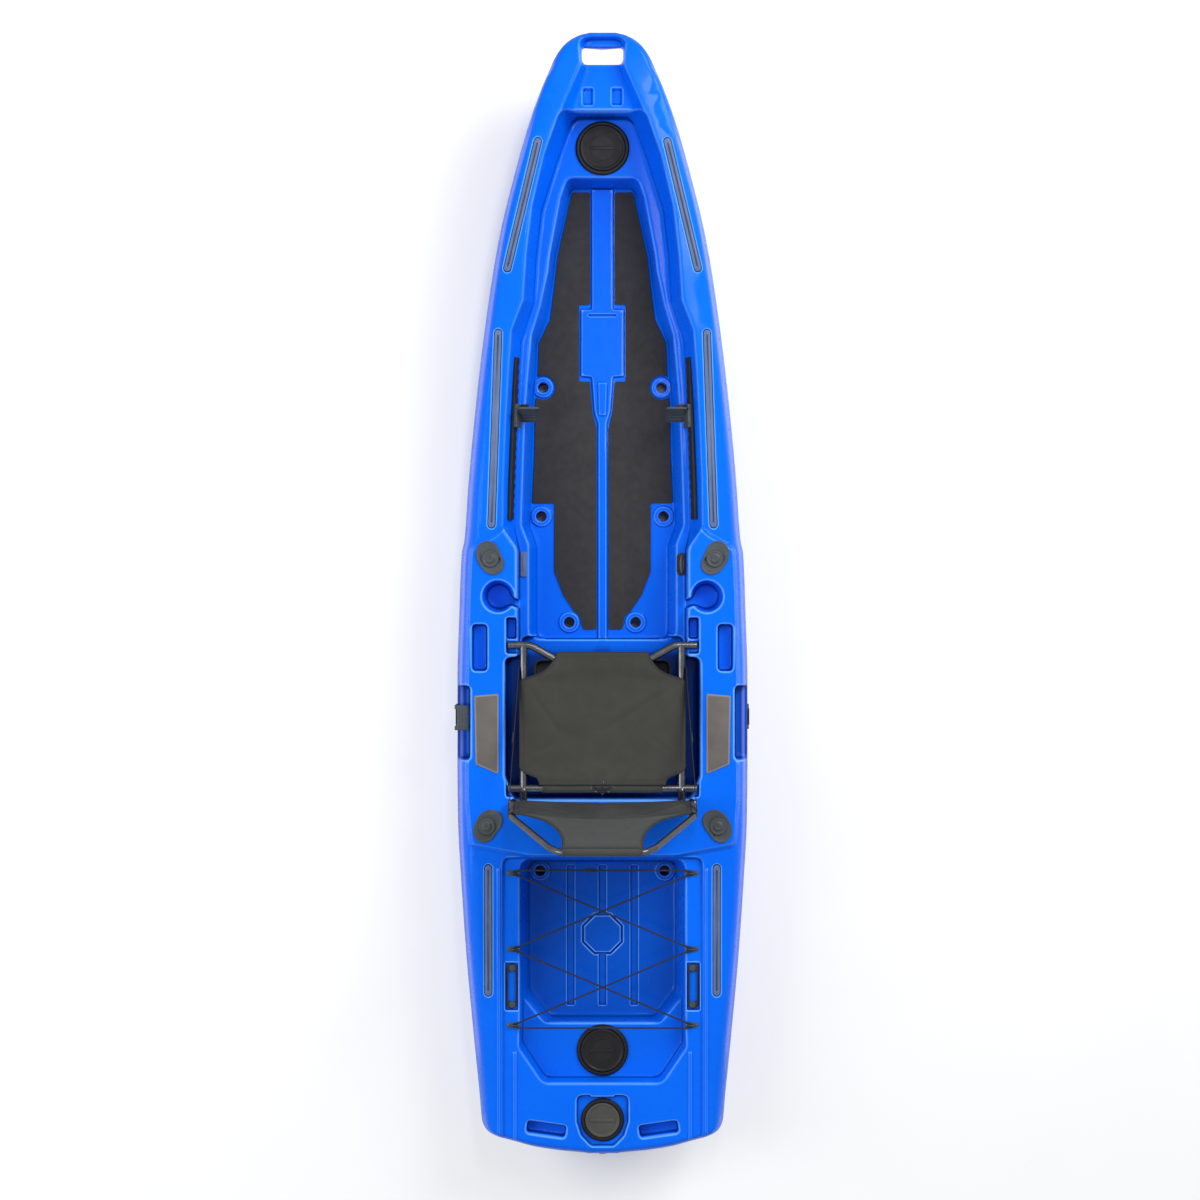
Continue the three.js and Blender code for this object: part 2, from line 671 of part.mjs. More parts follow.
// The well under the seat follows the seat's own places
function seatWell() {
  const inner = RAIL_X + SEAT_TUBE;
  const outer = inner + SEAT_WELL_SIDE;
  return closedLoop([
    new THREE.Vector2(inner, SEAT_FRONT + SEAT_WELL_LEAD),
    new THREE.Vector2(inner, SEAT_FRONT - SEAT_WELL_STEP),
    new THREE.Vector2(outer, SEAT_FRONT - SEAT_WELL_STEP),
    new THREE.Vector2(outer, SEAT_REAR + SEAT_WELL_TAIL),
    new THREE.Vector2(outer - SEAT_WELL_TAPER, SEAT_REAR - SEAT_WELL_TAIL / 2),
    new THREE.Vector2(outer - SEAT_WELL_TAPER * 3 / 2, SEAT_REAR - SEAT_WELL_TAIL),
  ]);
}

function seatNotch(y, margin) {
  const inner = SEAT_SPAN / 2 + NOTCH_SIDE_SPACE - NOTCH_WIDTH;
  const outline = roundedBox(NOTCH_WIDTH, NOTCH_LENGTH, NOTCH_SIDE_SPACE);
  return recess(moved(outline, inner + NOTCH_WIDTH / 2, y), SEAT_NOTCH_FLOOR, margin);
}

function frontCatch(margin) {
  const outline = roundedBox(CATCH_WIDTH, CATCH_LENGTH, NOTCH_SIDE_SPACE);
  const x = SEAT_SPAN / 2 + NOTCH_SIDE_SPACE - CATCH_WIDTH / 2;
  const y = notch_front_share * HALF_LENGTH - CATCH_LENGTH / 2;
  return recess(moved(outline, x, y), PLATEAU - CATCH_DEPTH, margin);
}

function rearHandleRecess(margin) {
  const { x, y } = place(rear_handle_place_share);
  const outline = roundedBox(REAR_HANDLE_WIDTH + REAR_HANDLE_THICKNESS,
    REAR_HANDLE_LENGTH + REAR_HANDLE_THICKNESS, REAR_HANDLE_BAR);
  return recess(moved(outline, x, y), STERN_BAND - REAR_HANDLE_RECESS, margin);
}

function footprint(margin) {
  const { x, y } = place(footprint_place_share);
  const outline = roundedBox(FOOTPRINT_WIDTH, FOOTPRINT_LENGTH, FOOTPRINT_WIDTH / 4);
  return recess(moved(outline, x, y), FORE_TRAY_FLOOR - 2 * GROOVE_DEPTH, margin);
}

// All that is hollowed out of the deck, with its walls moved out by a margin
function hullPockets(margin) {
  const rows = [
    [bothSides(fore_tray_rim_shares), bothSides(fore_tray_floor_shares), BOW_HEIGHT, FORE_TRAY_FLOOR],
    [bothSides(cockpit_rim_shares), bothSides(cockpit_ledge_shares), DECK_HEIGHT, LEDGE_HEIGHT],
    [bothSides(footwell_rim_shares), bothSides(footwell_floor_shares), LEDGE_HEIGHT, FOOTWELL_FLOOR],
    [seatWell(), seatWell(), PLATEAU, SEAT_WELL_FLOOR],
    [bothSides(tank_rim_shares), bothSides(tank_shelf_shares), STERN_BAND, TANK_SHELF],
    [bothSides(tank_well_rim_shares), bothSides(tank_well_floor_shares), TANK_SHELF, TANK_FLOOR],
    [bothSides(stern_band_shares), bothSides(stern_band_shares), STERN_BAND, STERN_BAND],
    [bothSides(stern_recess_shares), bothSides(stern_recess_shares), STERN_BAND, STERN_RECESS],
  ];
  const central = rows.map((row) => pocket(...row, margin));
  const sided = [
    ...Object.values(track_places_share).map((shares) => trackRecess(shares, margin)),
    cupRecess(margin), mugSlot(margin), tackleSlot(margin), sideScoop(margin), sternGrip(margin),
    seatNotch(SEAT_FRONT, margin), seatNotch(SEAT_REAR, margin), frontCatch(margin),
    rearHandleRecess(margin), footprint(margin),
  ];
  return joined([...central, ...sided, ...sided.map(mirrored)]);
}

// What goes right through the hull: scupper tubes and the bow's hand hold
function throughHoles(margin) {
  const reach = BOW_HEIGHT + OVERRUN;
  const scuppers = [...scupper_places_share, tank_scupper_place_share].map((share) => {
    const { x, y } = place(share);
    return prism(moved(circle(SCUPPER_RADIUS + margin, 12), x, y), -OVERRUN, reach);
  });
  const slot = roundedBox(BOW_SLOT_LENGTH + 2 * margin, BOW_SLOT_WIDTH + 2 * margin, BOW_SLOT_CORNER);
  const slotY = bow_slot_place_share * HALF_LENGTH;
  return joined([...scuppers, ...scuppers.map(mirrored), prism(moved(slot, 0, slotY), -OVERRUN, reach)]);
}

function scupperBosses() {
  const rows = [...scupper_places_share.map((share) => [share, FOOTWELL_FLOOR]),
    [tank_scupper_place_share, TANK_FLOOR]];
  const bosses = rows.map(([share, floor]) => {
    const { x, y } = place(share);
    return prism(moved(circle(SCUPPER_BOSS, 16), x, y), floor - WALL, floor + SCUPPER_BOSS_RISE);
  });
  return joined([...bosses, ...bosses.map(mirrored)]);
}

// Raised strips on the floors, which stiffen them
function floorRibs() {
  const rib = prism(bothSides(rib_shares), FOOTWELL_FLOOR - WALL, FOOTWELL_FLOOR + RIB_RISE);
  return solid(rib);
}

// Shallow grooves in the tank well's floor, broken by an eight-sided panel
function tankGrooves() {
  const [from, to] = tank_groove_ends_share;
  const length = (from - to) * HALF_LENGTH;
  const low = TANK_FLOOR - GROOVE_DEPTH;
  const grooves = tank_groove_sides_share.map((side) => (
    prism(moved(roundedBox(TANK_GROOVE_WIDTH, length, GROOVE_DEPTH, 1), side * HALF_BEAM,
      (from + to) / 2 * HALF_LENGTH), low, TANK_FLOOR + GROOVE_DEPTH)));
  const panel = (radius) => prism(moved(circle(radius, 8), 0, tank_panel_place_share * HALF_LENGTH),
    low - GROOVE_DEPTH, TANK_FLOOR + GROOVE_DEPTH);
  const line = solid(panel(TANK_PANEL_RADIUS)).subtract(solid(panel(TANK_PANEL_RADIUS - TANK_PANEL_LINE)));
  const level = solid(prism(moved(roundedBox(LENGTH, LENGTH, WALL, 1), 0, 0), low, BOW_HEIGHT));
  return joined(grooves).subtract(solid(panel(TANK_PANEL_RADIUS))).add(line.intersect(level));
}

// Bores for the hatch collars, rod holder tubes and drain plug
function fittingBores() {
  const hatches = HATCHES.map(({ radius, y, floor }) => {
    const bore = circle(radius - HATCH_FLANGE - COLLAR_INSET + GAP, 32);
    return prism(moved(bore, 0, y), floor - OVERRUN, floor + OVERRUN);
  });
  const holders = Object.values(rod_holder_places_share).map((share) => {
    const { x, y } = place(share);
    return prism(moved(circle(ROD_TUBE_RADIUS + BORE_CLEARANCE), x, y), PLATEAU - OVERRUN, PLATEAU + OVERRUN);
  });
  return joined([...hatches, ...holders, ...holders.map(mirrored)]);
}

function acrossStern(radius, from, to) {
  return prism(circle(radius), from, to).rotateX(-Math.PI / 2)
    .translate(0, -HALF_LENGTH, DRAIN_HEIGHT);
}

function makeHull() {
  const plateauFoot = bothSides(plateau_shares);
  const plateau = solid(loft([
    atHeight(plateauFoot, DECK_HEIGHT - 2 * PLATEAU_RISE),
    atHeight(plateauFoot, DECK_HEIGHT),
    atHeight(grown(plateauFoot, -PLATEAU_SLOPE), PLATEAU),
  ]));
  const outer = solid(hullLoft(0));
  const cavity = solid(hullLoft(WALL))
    .subtract(hullPockets(WALL))
    .subtract(throughHoles(WALL))
    .subtract(solid(acrossStern(DRAIN_BOSS_RADIUS, 0, DRAIN_BOSS_DEPTH)));
  const raised = floorRibs().add(scupperBosses());
  return outer.add(plateau).subtract(hullPockets(0)).add(raised.intersect(outer))
    .subtract(cavity)
    .subtract(tankGrooves())
    .subtract(throughHoles(0))
    .subtract(fittingBores())
    .subtract(solid(acrossStern(DRAIN_STEM_RADIUS + GAP, -OVERRUN, OVERRUN)))
    .subtract(solid(acrossStern(DRAIN_PLUG_RADIUS + GAP, -OVERRUN, DRAIN_PLUG_THICKNESS + GAP)));
}

// Hatch rim: a flange with a raised lip, and a threaded collar through the deck
function hatchRim(radius) {
  const lid = radius - HATCH_FLANGE;
  const collar = lid - COLLAR_INSET;
  return turned([
    [collar - COLLAR_WALL, -COLLAR_DEPTH], [collar, -COLLAR_DEPTH], [collar, 0], [radius, 0],
    [radius, HATCH_SEAT], [radius - HATCH_SEAT, HATCH_LIP], [lid + LID_CLEARANCE, HATCH_LIP],
    [lid + LID_CLEARANCE, HATCH_SEAT], [collar - COLLAR_WALL, HATCH_SEAT],
  ]);
}

function hatchSeal(radius) {
  const outer = radius - HATCH_FLANGE - LID_CLEARANCE;
  const low = HATCH_SEAT + GAP;
  return turned([
    [outer - SEAL_WIDTH, low], [outer, low], [outer, low + SEAL_THICKNESS],
    [outer - SEAL_WIDTH, low + SEAL_THICKNESS],
  ]);
}

// Hatch lid: a dished disc with a threaded skirt and a raised bar to turn it by
function hatchLid(radius) {
  const lid = radius - HATCH_FLANGE;
  const skirt = lid - COLLAR_INSET - COLLAR_WALL - THREAD_CLEARANCE;
  const low = HATCH_SEAT + SEAL_THICKNESS + 2 * GAP;
  const top = low + LID_THICKNESS;
  const disc = turned([
    [0, low], [skirt - COLLAR_WALL, low], [skirt - COLLAR_WALL, low - LID_SKIRT_DEPTH],
    [skirt, low - LID_SKIRT_DEPTH], [skirt, low], [lid, low], [lid, top - LID_DISH],
    [lid - LID_DISH, top], [lid - LID_EDGE, top], [lid - LID_EDGE - LID_DISH, top - LID_DISH],
    [0, top - LID_DISH],
  ]);
  const bar = prism(stadium(GRIP_BAR_LENGTH, GRIP_BAR_WIDTH), low, top);
  return solid(disc).add(solid(bar));
}

function gearTrack(run) {
  const length = runLength(run);
  const body = prism(stadium(length, TRACK_WIDTH), GAP, TRACK_HEIGHT);
  const inside = length - 2 * TRACK_END;
  const mouth = prism(stadium(inside, TRACK_MOUTH, 2), TRACK_LIP, TRACK_HEIGHT + OVERRUN);
  const throat = prism(stadium(inside, TRACK_THROAT, 2), TRACK_LIP, TRACK_HEIGHT - TRACK_LIP);
  const track = geometryOf(solid(body).subtract(joined([mouth, throat])));
  return track.translate(0, 0, -TRACK_HEIGHT).applyMatrix4(deckFrame(run));
}

function floorPad() {
  const outline = line(floor_pad_shares).reverse();
  const low = FOOTWELL_FLOOR + GAP;
  const bosses = scupper_places_share.map((share) => {
    const { x, y } = place(share);
    return prism(moved(circle(SCUPPER_BOSS + PAD_MARGIN, 16), x, y), 0, low + OVERRUN);
  });
  return geometryOf(solid(prism(outline, low, low + PAD_THICKNESS)).subtract(joined(bosses)));
}

function sidePad() {
  const low = PLATEAU + GAP;
  const inner = RAIL_X + SEAT_TUBE + SEAT_WELL_SIDE + SIDE_PAD_MARGIN;
  const corners = side_pad_inner_shares.map((share) => new THREE.Vector2(inner, share * HALF_LENGTH));
  return prism([...corners, ...line(side_pad_outer_shares)], low, low + PAD_THICKNESS);
}

function seatTray() {
  const low = SEAT_WELL_FLOOR + GAP;
  const outline = roundedBox(TRAY_WIDTH, TRAY_LENGTH, TRAY_CORNER);
  const inside = grown(outline, -TRAY_WALL);
  const y = SEAT_FRONT_DIP - TRAY_LENGTH / 2;
  const tray = solid(prism(outline, low, low + TRAY_HEIGHT))
    .subtract(solid(prism(inside, low + TRAY_WALL, low + OVERRUN)));
  return geometryOf(tray).translate(0, y, 0);
}

// Rod holder: a bean-shaped flange on a closed tube
function rodHolder(share, turn) {
  const { x, y } = place(share);
  const low = PLATEAU + GAP;
  const lobe = CAP_RADIUS + ROD_FLANGE_THICKNESS;
  const flange = [lobe, -lobe].map((offset) => (
    solid(prism(moved(circle(lobe, 16), 0, offset / 2), low, low + ROD_FLANGE_THICKNESS))));
  const body = solid(turned([
    [0, low - ROD_TUBE_DEPTH], [ROD_TUBE_RADIUS, low - ROD_TUBE_DEPTH],
    [ROD_TUBE_RADIUS, low + ROD_FLANGE_THICKNESS], [0, low + ROD_FLANGE_THICKNESS],
  ], 16));
  const bore = solid(turned([
    [0, low - ROD_TUBE_DEPTH + ROD_TUBE_WALL],
    [ROD_TUBE_RADIUS - ROD_TUBE_WALL, low - ROD_TUBE_DEPTH + ROD_TUBE_WALL],
    [ROD_TUBE_RADIUS - ROD_TUBE_WALL, low + OVERRUN], [0, low + OVERRUN],
  ], 16));
  const holder = flange[0].add(flange[1]).add(body).subtract(bore);
  return geometryOf(holder).rotateZ(THREE.MathUtils.degToRad(turn)).translate(x, y, 0);
}

function rodCap(share) {
  const { x, y } = place(share);
  const low = PLATEAU + ROD_FLANGE_THICKNESS + 2 * GAP;
  const plug = ROD_TUBE_RADIUS - ROD_TUBE_WALL - THREAD_CLEARANCE;
  const top = low + CAP_THICKNESS;
  return turned([
    [0, low - CAP_PLUG_DEPTH], [plug, low - CAP_PLUG_DEPTH], [plug, low], [CAP_RADIUS, low],
    [CAP_RADIUS, top - LID_DISH], [CAP_RADIUS - LID_DISH, top], [CAP_TAB_RADIUS + LID_DISH, top],
    [CAP_TAB_RADIUS, top + CAP_TAB_HEIGHT], [0, top + CAP_TAB_HEIGHT],
  ], 16).translate(x, y, 0);
}

// The slope of the cockpit's side, on which the foot brace rail lies
function railFrame() {
  const [bowEnd, aftEnd] = line(rail_ends_share);
  const height = (DECK_HEIGHT + LEDGE_HEIGHT) / 2;
  const rise = DECK_HEIGHT - LEDGE_HEIGHT;
  const lean = (cockpit_rim_shares[7][0] - cockpit_ledge_shares[7][0]) * HALF_BEAM;
  const along = vector(aftEnd.x - bowEnd.x, aftEnd.y - bowEnd.y, 0).normalize();
  const slope = vector(lean, 0, rise).normalize();
  const inward = along.clone().cross(slope).normalize();
  const up = inward.clone().cross(along);
  const middle = vector((bowEnd.x + aftEnd.x) / 2, (bowEnd.y + aftEnd.y) / 2, height)
    .addScaledVector(inward, RAIL_STANDOFF);
  return new THREE.Matrix4().makeBasis(along, up, inward).setPosition(middle);
}

function railLength() {
  const [bowEnd, aftEnd] = line(rail_ends_share);
  return bowEnd.distanceTo(aftEnd);
}

function footRail() {
  const length = railLength();
  const pitch = length / (RAIL_TEETH + 1);
  const outline = roundedBox(length, RAIL_WIDTH, RAIL_TOOTH, 2);
  const notches = [];
  for (let i = 1; i <= RAIL_TEETH; i += 1) {
    const x = i * pitch - length / 2;
    const half = pitch / 4;
    const low = -RAIL_WIDTH / 2 - RAIL_TOOTH;
    notches.push(prism([
      new THREE.Vector2(x - half, low), new THREE.Vector2(x + half, low),
      new THREE.Vector2(x + half, low + 2 * RAIL_TOOTH), new THREE.Vector2(x - half, low + 2 * RAIL_TOOTH),
    ], -OVERRUN, OVERRUN));
  }
  const bar = solid(prism(outline, 0, RAIL_THICKNESS)).subtract(joined(notches));
  return geometryOf(bar).applyMatrix4(railFrame());
}

function pedalCentre() {
  const [bowEnd, aftEnd] = line(rail_ends_share);
  const y = pedal_place_share * HALF_LENGTH;
  return (bowEnd.y - y) / (bowEnd.y - aftEnd.y) * railLength() - railLength() / 2;
}

// Pedal: a slider on the rail's face, and a bowed tread that leans forward at the top
function footPedal() {
  const low = RAIL_THICKNESS + GAP;
  const slider = prism(moved(roundedBox(SLIDER_LENGTH, SLIDER_WIDTH, RAIL_TOOTH, 2), pedalCentre(), 0),
    low, low + SLIDER_THICKNESS).applyMatrix4(railFrame());
  const face = vector(pedalCentre(), 0, low + SLIDER_THICKNESS).applyMatrix4(railFrame());
  const profile = [];
  const steps = 5;
  for (let i = 0; i <= steps; i += 1) {
    const t = i / steps;
    const bow = PEDAL_BOW * Math.sin(Math.PI * t);
    profile.push(new THREE.Vector2((t - 1 / 2) * PEDAL_LEAN + bow, THREE.MathUtils.lerp(PEDAL_BOTTOM, PEDAL_TOP, t)));
  }
  const back = profile.map((p) => new THREE.Vector2(p.x + PEDAL_THICKNESS, p.y)).reverse();
  const tread = prism(profile.concat(back).reverse(), face.x - PEDAL_REACH, face.x + SLIDER_THICKNESS / 4);
  tread.applyMatrix4(new THREE.Matrix4().makeBasis(vector(0, 1, 0), vector(0, 0, 1), vector(1, 0, 0)));
  return geometryOf(joined([slider, tread.translate(0, face.y, 0)]));
}

// Catch: a sprung lever that stands out of the slider's face and turns about its round root
function pedalCatch() {
  const low = RAIL_THICKNESS + SLIDER_THICKNESS + 2 * GAP;
  const profile = stadium(CATCH_LEVER_LENGTH, CATCH_LEVER_THICKNESS);
  const x = pedalCentre() - (SLIDER_LENGTH - CATCH_LEVER_WIDTH) / 2;
  return prism(profile, -CATCH_LEVER_WIDTH / 2, CATCH_LEVER_WIDTH / 2).rotateY(-Math.PI / 2)
    .translate(x, -SLIDER_WIDTH / 4, low + CATCH_LEVER_LENGTH / 2)
    .applyMatrix4(railFrame());
}

// Side carry handle: a grip on two strap arms, up in its scoop or hanging on the hull's side
function sideHandleAnchor() {
  const y = side_handle_place_share * HALF_LENGTH;
  const x = HALF_BEAM + GAP + HANDLE_ANCHOR_THICKNESS / 2;
  const low = HANDLE_PIVOT_HEIGHT - HANDLE_ANCHOR_HEIGHT / 2;
  const outline = roundedBox(HANDLE_ANCHOR_THICKNESS, HANDLE_ANCHOR_LENGTH, STRAP_THICKNESS, 2);
  return prism(moved(outline, x, y), low, low + HANDLE_ANCHOR_HEIGHT);
}

function sideHandleArms(from, to, width = STRAP_THICKNESS) {
  const y = side_handle_place_share * HALF_LENGTH;
  const armWidth = (GRIP_LENGTH - HANDLE_ANCHOR_LENGTH) / 2 - GAP;
  const reach = HANDLE_ANCHOR_LENGTH / 2 + GAP + armWidth / 2;
  const x = HALF_BEAM + HANDLE_CLEARANCE + STRAP_THICKNESS - width / 2;
  return [-reach, reach].map((offset) => (
    prism(moved(roundedBox(width, armWidth, GAP, 1), x, y + offset), from, to)));
}

function sideHandleUp() {
  const y = side_handle_place_share * HALF_LENGTH;
  const top = HANDLE_PIVOT_HEIGHT + HANDLE_ARM;
  const outer = HALF_BEAM + HANDLE_CLEARANCE + STRAP_THICKNESS;
  const outline = roundedBox(GRIP_WIDTH, GRIP_LENGTH, STRAP_THICKNESS, 2);
  const grip = prism(moved(outline, outer - HANDLE_INBOARD, y), top - GRIP_THICKNESS, top);
  const arms = sideHandleArms(HANDLE_PIVOT_HEIGHT - STRAP_THICKNESS / 2, top - STRAP_THICKNESS);
  const bends = sideHandleArms(top - 2 * STRAP_THICKNESS, top - STRAP_THICKNESS, HANDLE_INBOARD);
  return geometryOf(joined([grip, ...arms, ...bends]));
}

function sideHandleDown() {
  const y = side_handle_place_share * HALF_LENGTH;
  const low = HANDLE_PIVOT_HEIGHT - HANDLE_ARM;
  const outer = HALF_BEAM + HANDLE_CLEARANCE + STRAP_THICKNESS;
  const outline = roundedBox(GRIP_THICKNESS, GRIP_LENGTH, STRAP_THICKNESS, 2);
  const grip = prism(moved(outline, outer - GRIP_THICKNESS / 2, y), low, low + GRIP_WIDTH);
  const arms = sideHandleArms(low + STRAP_THICKNESS, HANDLE_PIVOT_HEIGHT + STRAP_THICKNESS / 2);
  return geometryOf(joined([grip, ...arms]));
}

// Rear handle: a flat loop with thick ends, which lies in its recess and swings up
function rearHandle() {
  const { x, y } = place(rear_handle_place_share);
  const low = STERN_BAND - REAR_HANDLE_RECESS + GAP;
  const opening = roundedBox(REAR_HANDLE_LENGTH - 2 * REAR_HANDLE_BLOCK,
    REAR_HANDLE_WIDTH - 2 * REAR_HANDLE_BAR, REAR_HANDLE_BAR);
  const outline = stadium(REAR_HANDLE_LENGTH, REAR_HANDLE_WIDTH);
  const bar = loft([
    atHeight(grown(outline, -REAR_HANDLE_BAR / 2), low),
    atHeight(outline, low + REAR_HANDLE_BAR / 2),
    atHeight(outline, low + REAR_HANDLE_THICKNESS),
  ]);
  const loop = solid(bar).subtract(solid(prism(opening, low - OVERRUN, low + OVERRUN)));
  return geometryOf(loop).rotateZ(Math.PI / 2).translate(x, y, 0);
}

// Pad eye: a small arch on a base, which the shock cord passes through
function padEye(share) {
  const base = prism(stadium(EYE_BASE_LENGTH, EYE_BASE_WIDTH, 4), 0, EYE_BASE_THICKNESS);
  const arch = [vector(-EYE_RADIUS, 0, EYE_BASE_THICKNESS / 2)];
  const steps = 6;
  for (let i = 0; i <= steps; i += 1) {
    const a = Math.PI * (1 - i / steps);
    arch.push(vector(EYE_RADIUS * Math.cos(a), 0, EYE_BASE_THICKNESS + EYE_WIRE + EYE_RADIUS * Math.sin(a)));
  }
  arch.push(vector(EYE_RADIUS, 0, EYE_BASE_THICKNESS / 2));
  const eye = geometryOf(joined([base, tube(arch, EYE_WIRE / 2, 6)]));
  return eye.translate(eye_side_share * HALF_BEAM, share * HALF_LENGTH, STERN_BAND + GAP);
}

const CORD_HEIGHT = STERN_BAND + EYE_BASE_THICKNESS + CORD_DIAMETER / 2 + 2 * GAP;
const EYE_STEP = EYE_RADIUS;

// The cord turns through an eye from one side of it to the other, along the hull
function cordThroughEye(side, eye, heading) {
  const x = eye_side_share * HALF_BEAM;
  const y = eye_places_share[eye] * HALF_LENGTH;
  const inner = x - EYE_RADIUS - EYE_WIRE - CORD_DIAMETER;
  return [
    vector(side * inner, y - heading * EYE_STEP, CORD_HEIGHT),
    vector(side * x, y - heading * EYE_STEP / 2, CORD_HEIGHT),
    vector(side * x, y + heading * EYE_STEP / 2, CORD_HEIGHT),
    vector(side * inner, y + heading * EYE_STEP, CORD_HEIGHT),
  ];
}

function cordCrossing(eye, lift) {
  const y = (eye_places_share[eye] + eye_places_share[eye + 1]) / 2 * HALF_LENGTH;
  return vector(0, y, CORD_HEIGHT + lift * (CORD_DIAMETER / 2 + GAP));
}

function cordHookPlace() {
  const y = eye_places_share[0] * HALF_LENGTH + EYE_STEP;
  return vector(cord_hook_place_share * HALF_BEAM, y, CORD_HEIGHT);
}

function shockCord() {
  const hook = cordHookPlace();
  const half = CORD_HOOK_LENGTH / 2 + GAP;
  const route = [
    hook.clone().add(vector(-half, 0, 0)),
    ...cordThroughEye(-1, 0, -1), cordCrossing(0, 1),
    ...cordThroughEye(1, 1, -1), cordCrossing(1, 1),
    ...cordThroughEye(-1, 2, -1),
    ...cordThroughEye(1, 2, 1), cordCrossing(1, -1),
    ...cordThroughEye(-1, 1, 1), cordCrossing(0, -1),
    ...cordThroughEye(1, 0, 1),
    hook.clone().add(vector(half, 0, 0)),
  ];
  return tube(route, CORD_DIAMETER / 2, 6);
}

function cordHook() {
  const { x, y, z } = cordHookPlace();
  const body = prism(stadium(CORD_HOOK_LENGTH, CORD_HOOK_WIDTH, 4), -CORD_DIAMETER / 2 - GAP,
    CORD_DIAMETER / 2 + GAP);
  return body.translate(x, y, z);
}

function drainPlug() {
  const flange = DRAIN_PLUG_THICKNESS;
  const plug = solid(turned([
    [0, 0], [DRAIN_PLUG_RADIUS, 0], [DRAIN_PLUG_RADIUS, flange], [DRAIN_STEM_RADIUS, flange],
    [DRAIN_STEM_RADIUS, flange + DRAIN_STEM_LENGTH], [0, flange + DRAIN_STEM_LENGTH],
  ], 16));
  const coinSlot = prism(stadium(2 * DRAIN_STEM_RADIUS, COIN_SLOT_WIDTH, 2), -OVERRUN, flange / 2);
  return geometryOf(plug.subtract(solid(coinSlot))).rotateX(-Math.PI / 2)
    .translate(0, -HALF_LENGTH, DRAIN_HEIGHT);
}

// Fittings on the ledges beside the cockpit's rear: a plate to port, a cable port to starboard
function ledgePlate() {
  const { x, y } = place(ledge_fitting_place_share);
  const low = LEDGE_HEIGHT + GAP;
  const outline = roundedBox(LEDGE_PLATE_WIDTH, LEDGE_PLATE_LENGTH, LEDGE_PLATE_THICKNESS / 2, 2);
  return prism(moved(outline, -x, y), low, low + LEDGE_PLATE_THICKNESS);
}

function cablePort() {
  const { x, y } = place(ledge_fitting_place_share);
  const low = LEDGE_HEIGHT + GAP;
  const outline = stadium(CABLE_PORT_LENGTH, CABLE_PORT_WIDTH);
  return loft([
    atHeight(outline, low),
    atHeight(outline, low + CABLE_PORT_HEIGHT / 2),
    atHeight(grown(outline, -CABLE_PORT_WIDTH / 4), low + CABLE_PORT_HEIGHT),
  ]).rotateZ(Math.PI / 2).translate(x, y, 0);
}

// Seat base: a front bar that dips aft, a rear bar, and rails that rise to the back's pivots
function seatBase() {
  const front = [[SEAT_SPAN / 2, SEAT_FRONT], [RAIL_X, SEAT_FRONT], [SEAT_DIP_SPAN / 2, SEAT_FRONT_DIP]];
  const starboard = front.map(([x, y]) => vector(x, y, SEAT_HEIGHT));
  const port = starboard.map((p) => vector(-p.x, p.y, p.z)).reverse();
  const frontBar = tube(rounded([...starboard, ...port], SEAT_TUBE), SEAT_TUBE);
  const rearBar = tube([vector(SEAT_SPAN / 2, SEAT_REAR, SEAT_HEIGHT),
    vector(-SEAT_SPAN / 2, SEAT_REAR, SEAT_HEIGHT)], SEAT_TUBE);
  const rail = tube(rounded([
    vector(RAIL_X, SEAT_FRONT, SEAT_HEIGHT), vector(RAIL_X, SEAT_REAR - SEAT_TUBE, SEAT_HEIGHT),
    vector(RAIL_X, BACK_PIVOT_Y, BACK_PIVOT_HEIGHT + SEAT_TUBE),
  ], SEAT_TUBE), SEAT_TUBE);
  const pin = tube([vector(RAIL_X, BACK_PIVOT_Y, BACK_PIVOT_HEIGHT),
    vector(BACK_SPACING / 2 + BACK_TUBE + PIVOT_PIN_RADIUS, BACK_PIVOT_Y, BACK_PIVOT_HEIGHT)],
  PIVOT_PIN_RADIUS);
  return geometryOf(joined([frontBar, rearBar, rail, mirrored(rail), pin, mirrored(pin)]));
}

function seatBackFrame() {
  const half = BACK_SPACING / 2;
  const side = [
    vector(half, BACK_PIVOT_Y + GAP, BACK_PIVOT_HEIGHT - BACK_TUBE),
    vector(half, BACK_BEND_Y, BACK_BEND_HEIGHT),
    vector(BACK_TOP_SPAN / 2, BACK_TOP_Y + BACK_TUBE, BACK_TOP_HEIGHT - 3 * BACK_TUBE),
    vector(BACK_TOP_SPAN / 2 - 3 * BACK_TUBE, BACK_TOP_Y, BACK_TOP_HEIGHT),
  ];
  const port = side.map((p) => vector(-p.x, p.y, p.z)).reverse();
  const frame = solid(tube(rounded([...side, ...port], 2 * BACK_TUBE), BACK_TUBE));
  const bore = tube([vector(-BACK_SPACING, BACK_PIVOT_Y, BACK_PIVOT_HEIGHT),
    vector(BACK_SPACING, BACK_PIVOT_Y, BACK_PIVOT_HEIGHT)], PIVOT_PIN_RADIUS + BORE_CLEARANCE);
  return geometryOf(frame.subtract(solid(bore)));
}

// One row of a sling, across the seat: an upper and a lower line with a sag in the middle
const sling_sag_shares = [[-1, 0], [-0.9, 0], [-0.5, 0.7], [0, 1], [0.5, 0.7], [0.9, 0], [1, 0]];

function slingRow(half, offset, sag, toPoint) {
  const lineAt = (height) => sling_sag_shares.map(([u, depth]) => (
    toPoint(u * half, height - depth * sag)));
  return lineAt(offset + SLING_THICKNESS).concat(lineAt(offset).reverse());
}

const seat_sling_shares = [
  [0, 0.76, 0], [0.05, 0.79, 0], [0.1, 0.96, 0.4], [0.13, 1, 0.6], [0.4, 1, 1], [0.7, 1, 1],
  [0.8, 1, 0.8], [0.85, 0.83, 0.5], [0.9, 0.66, 0.2], [0.94, 0.585, 0], [1, 0.57, 0],
];

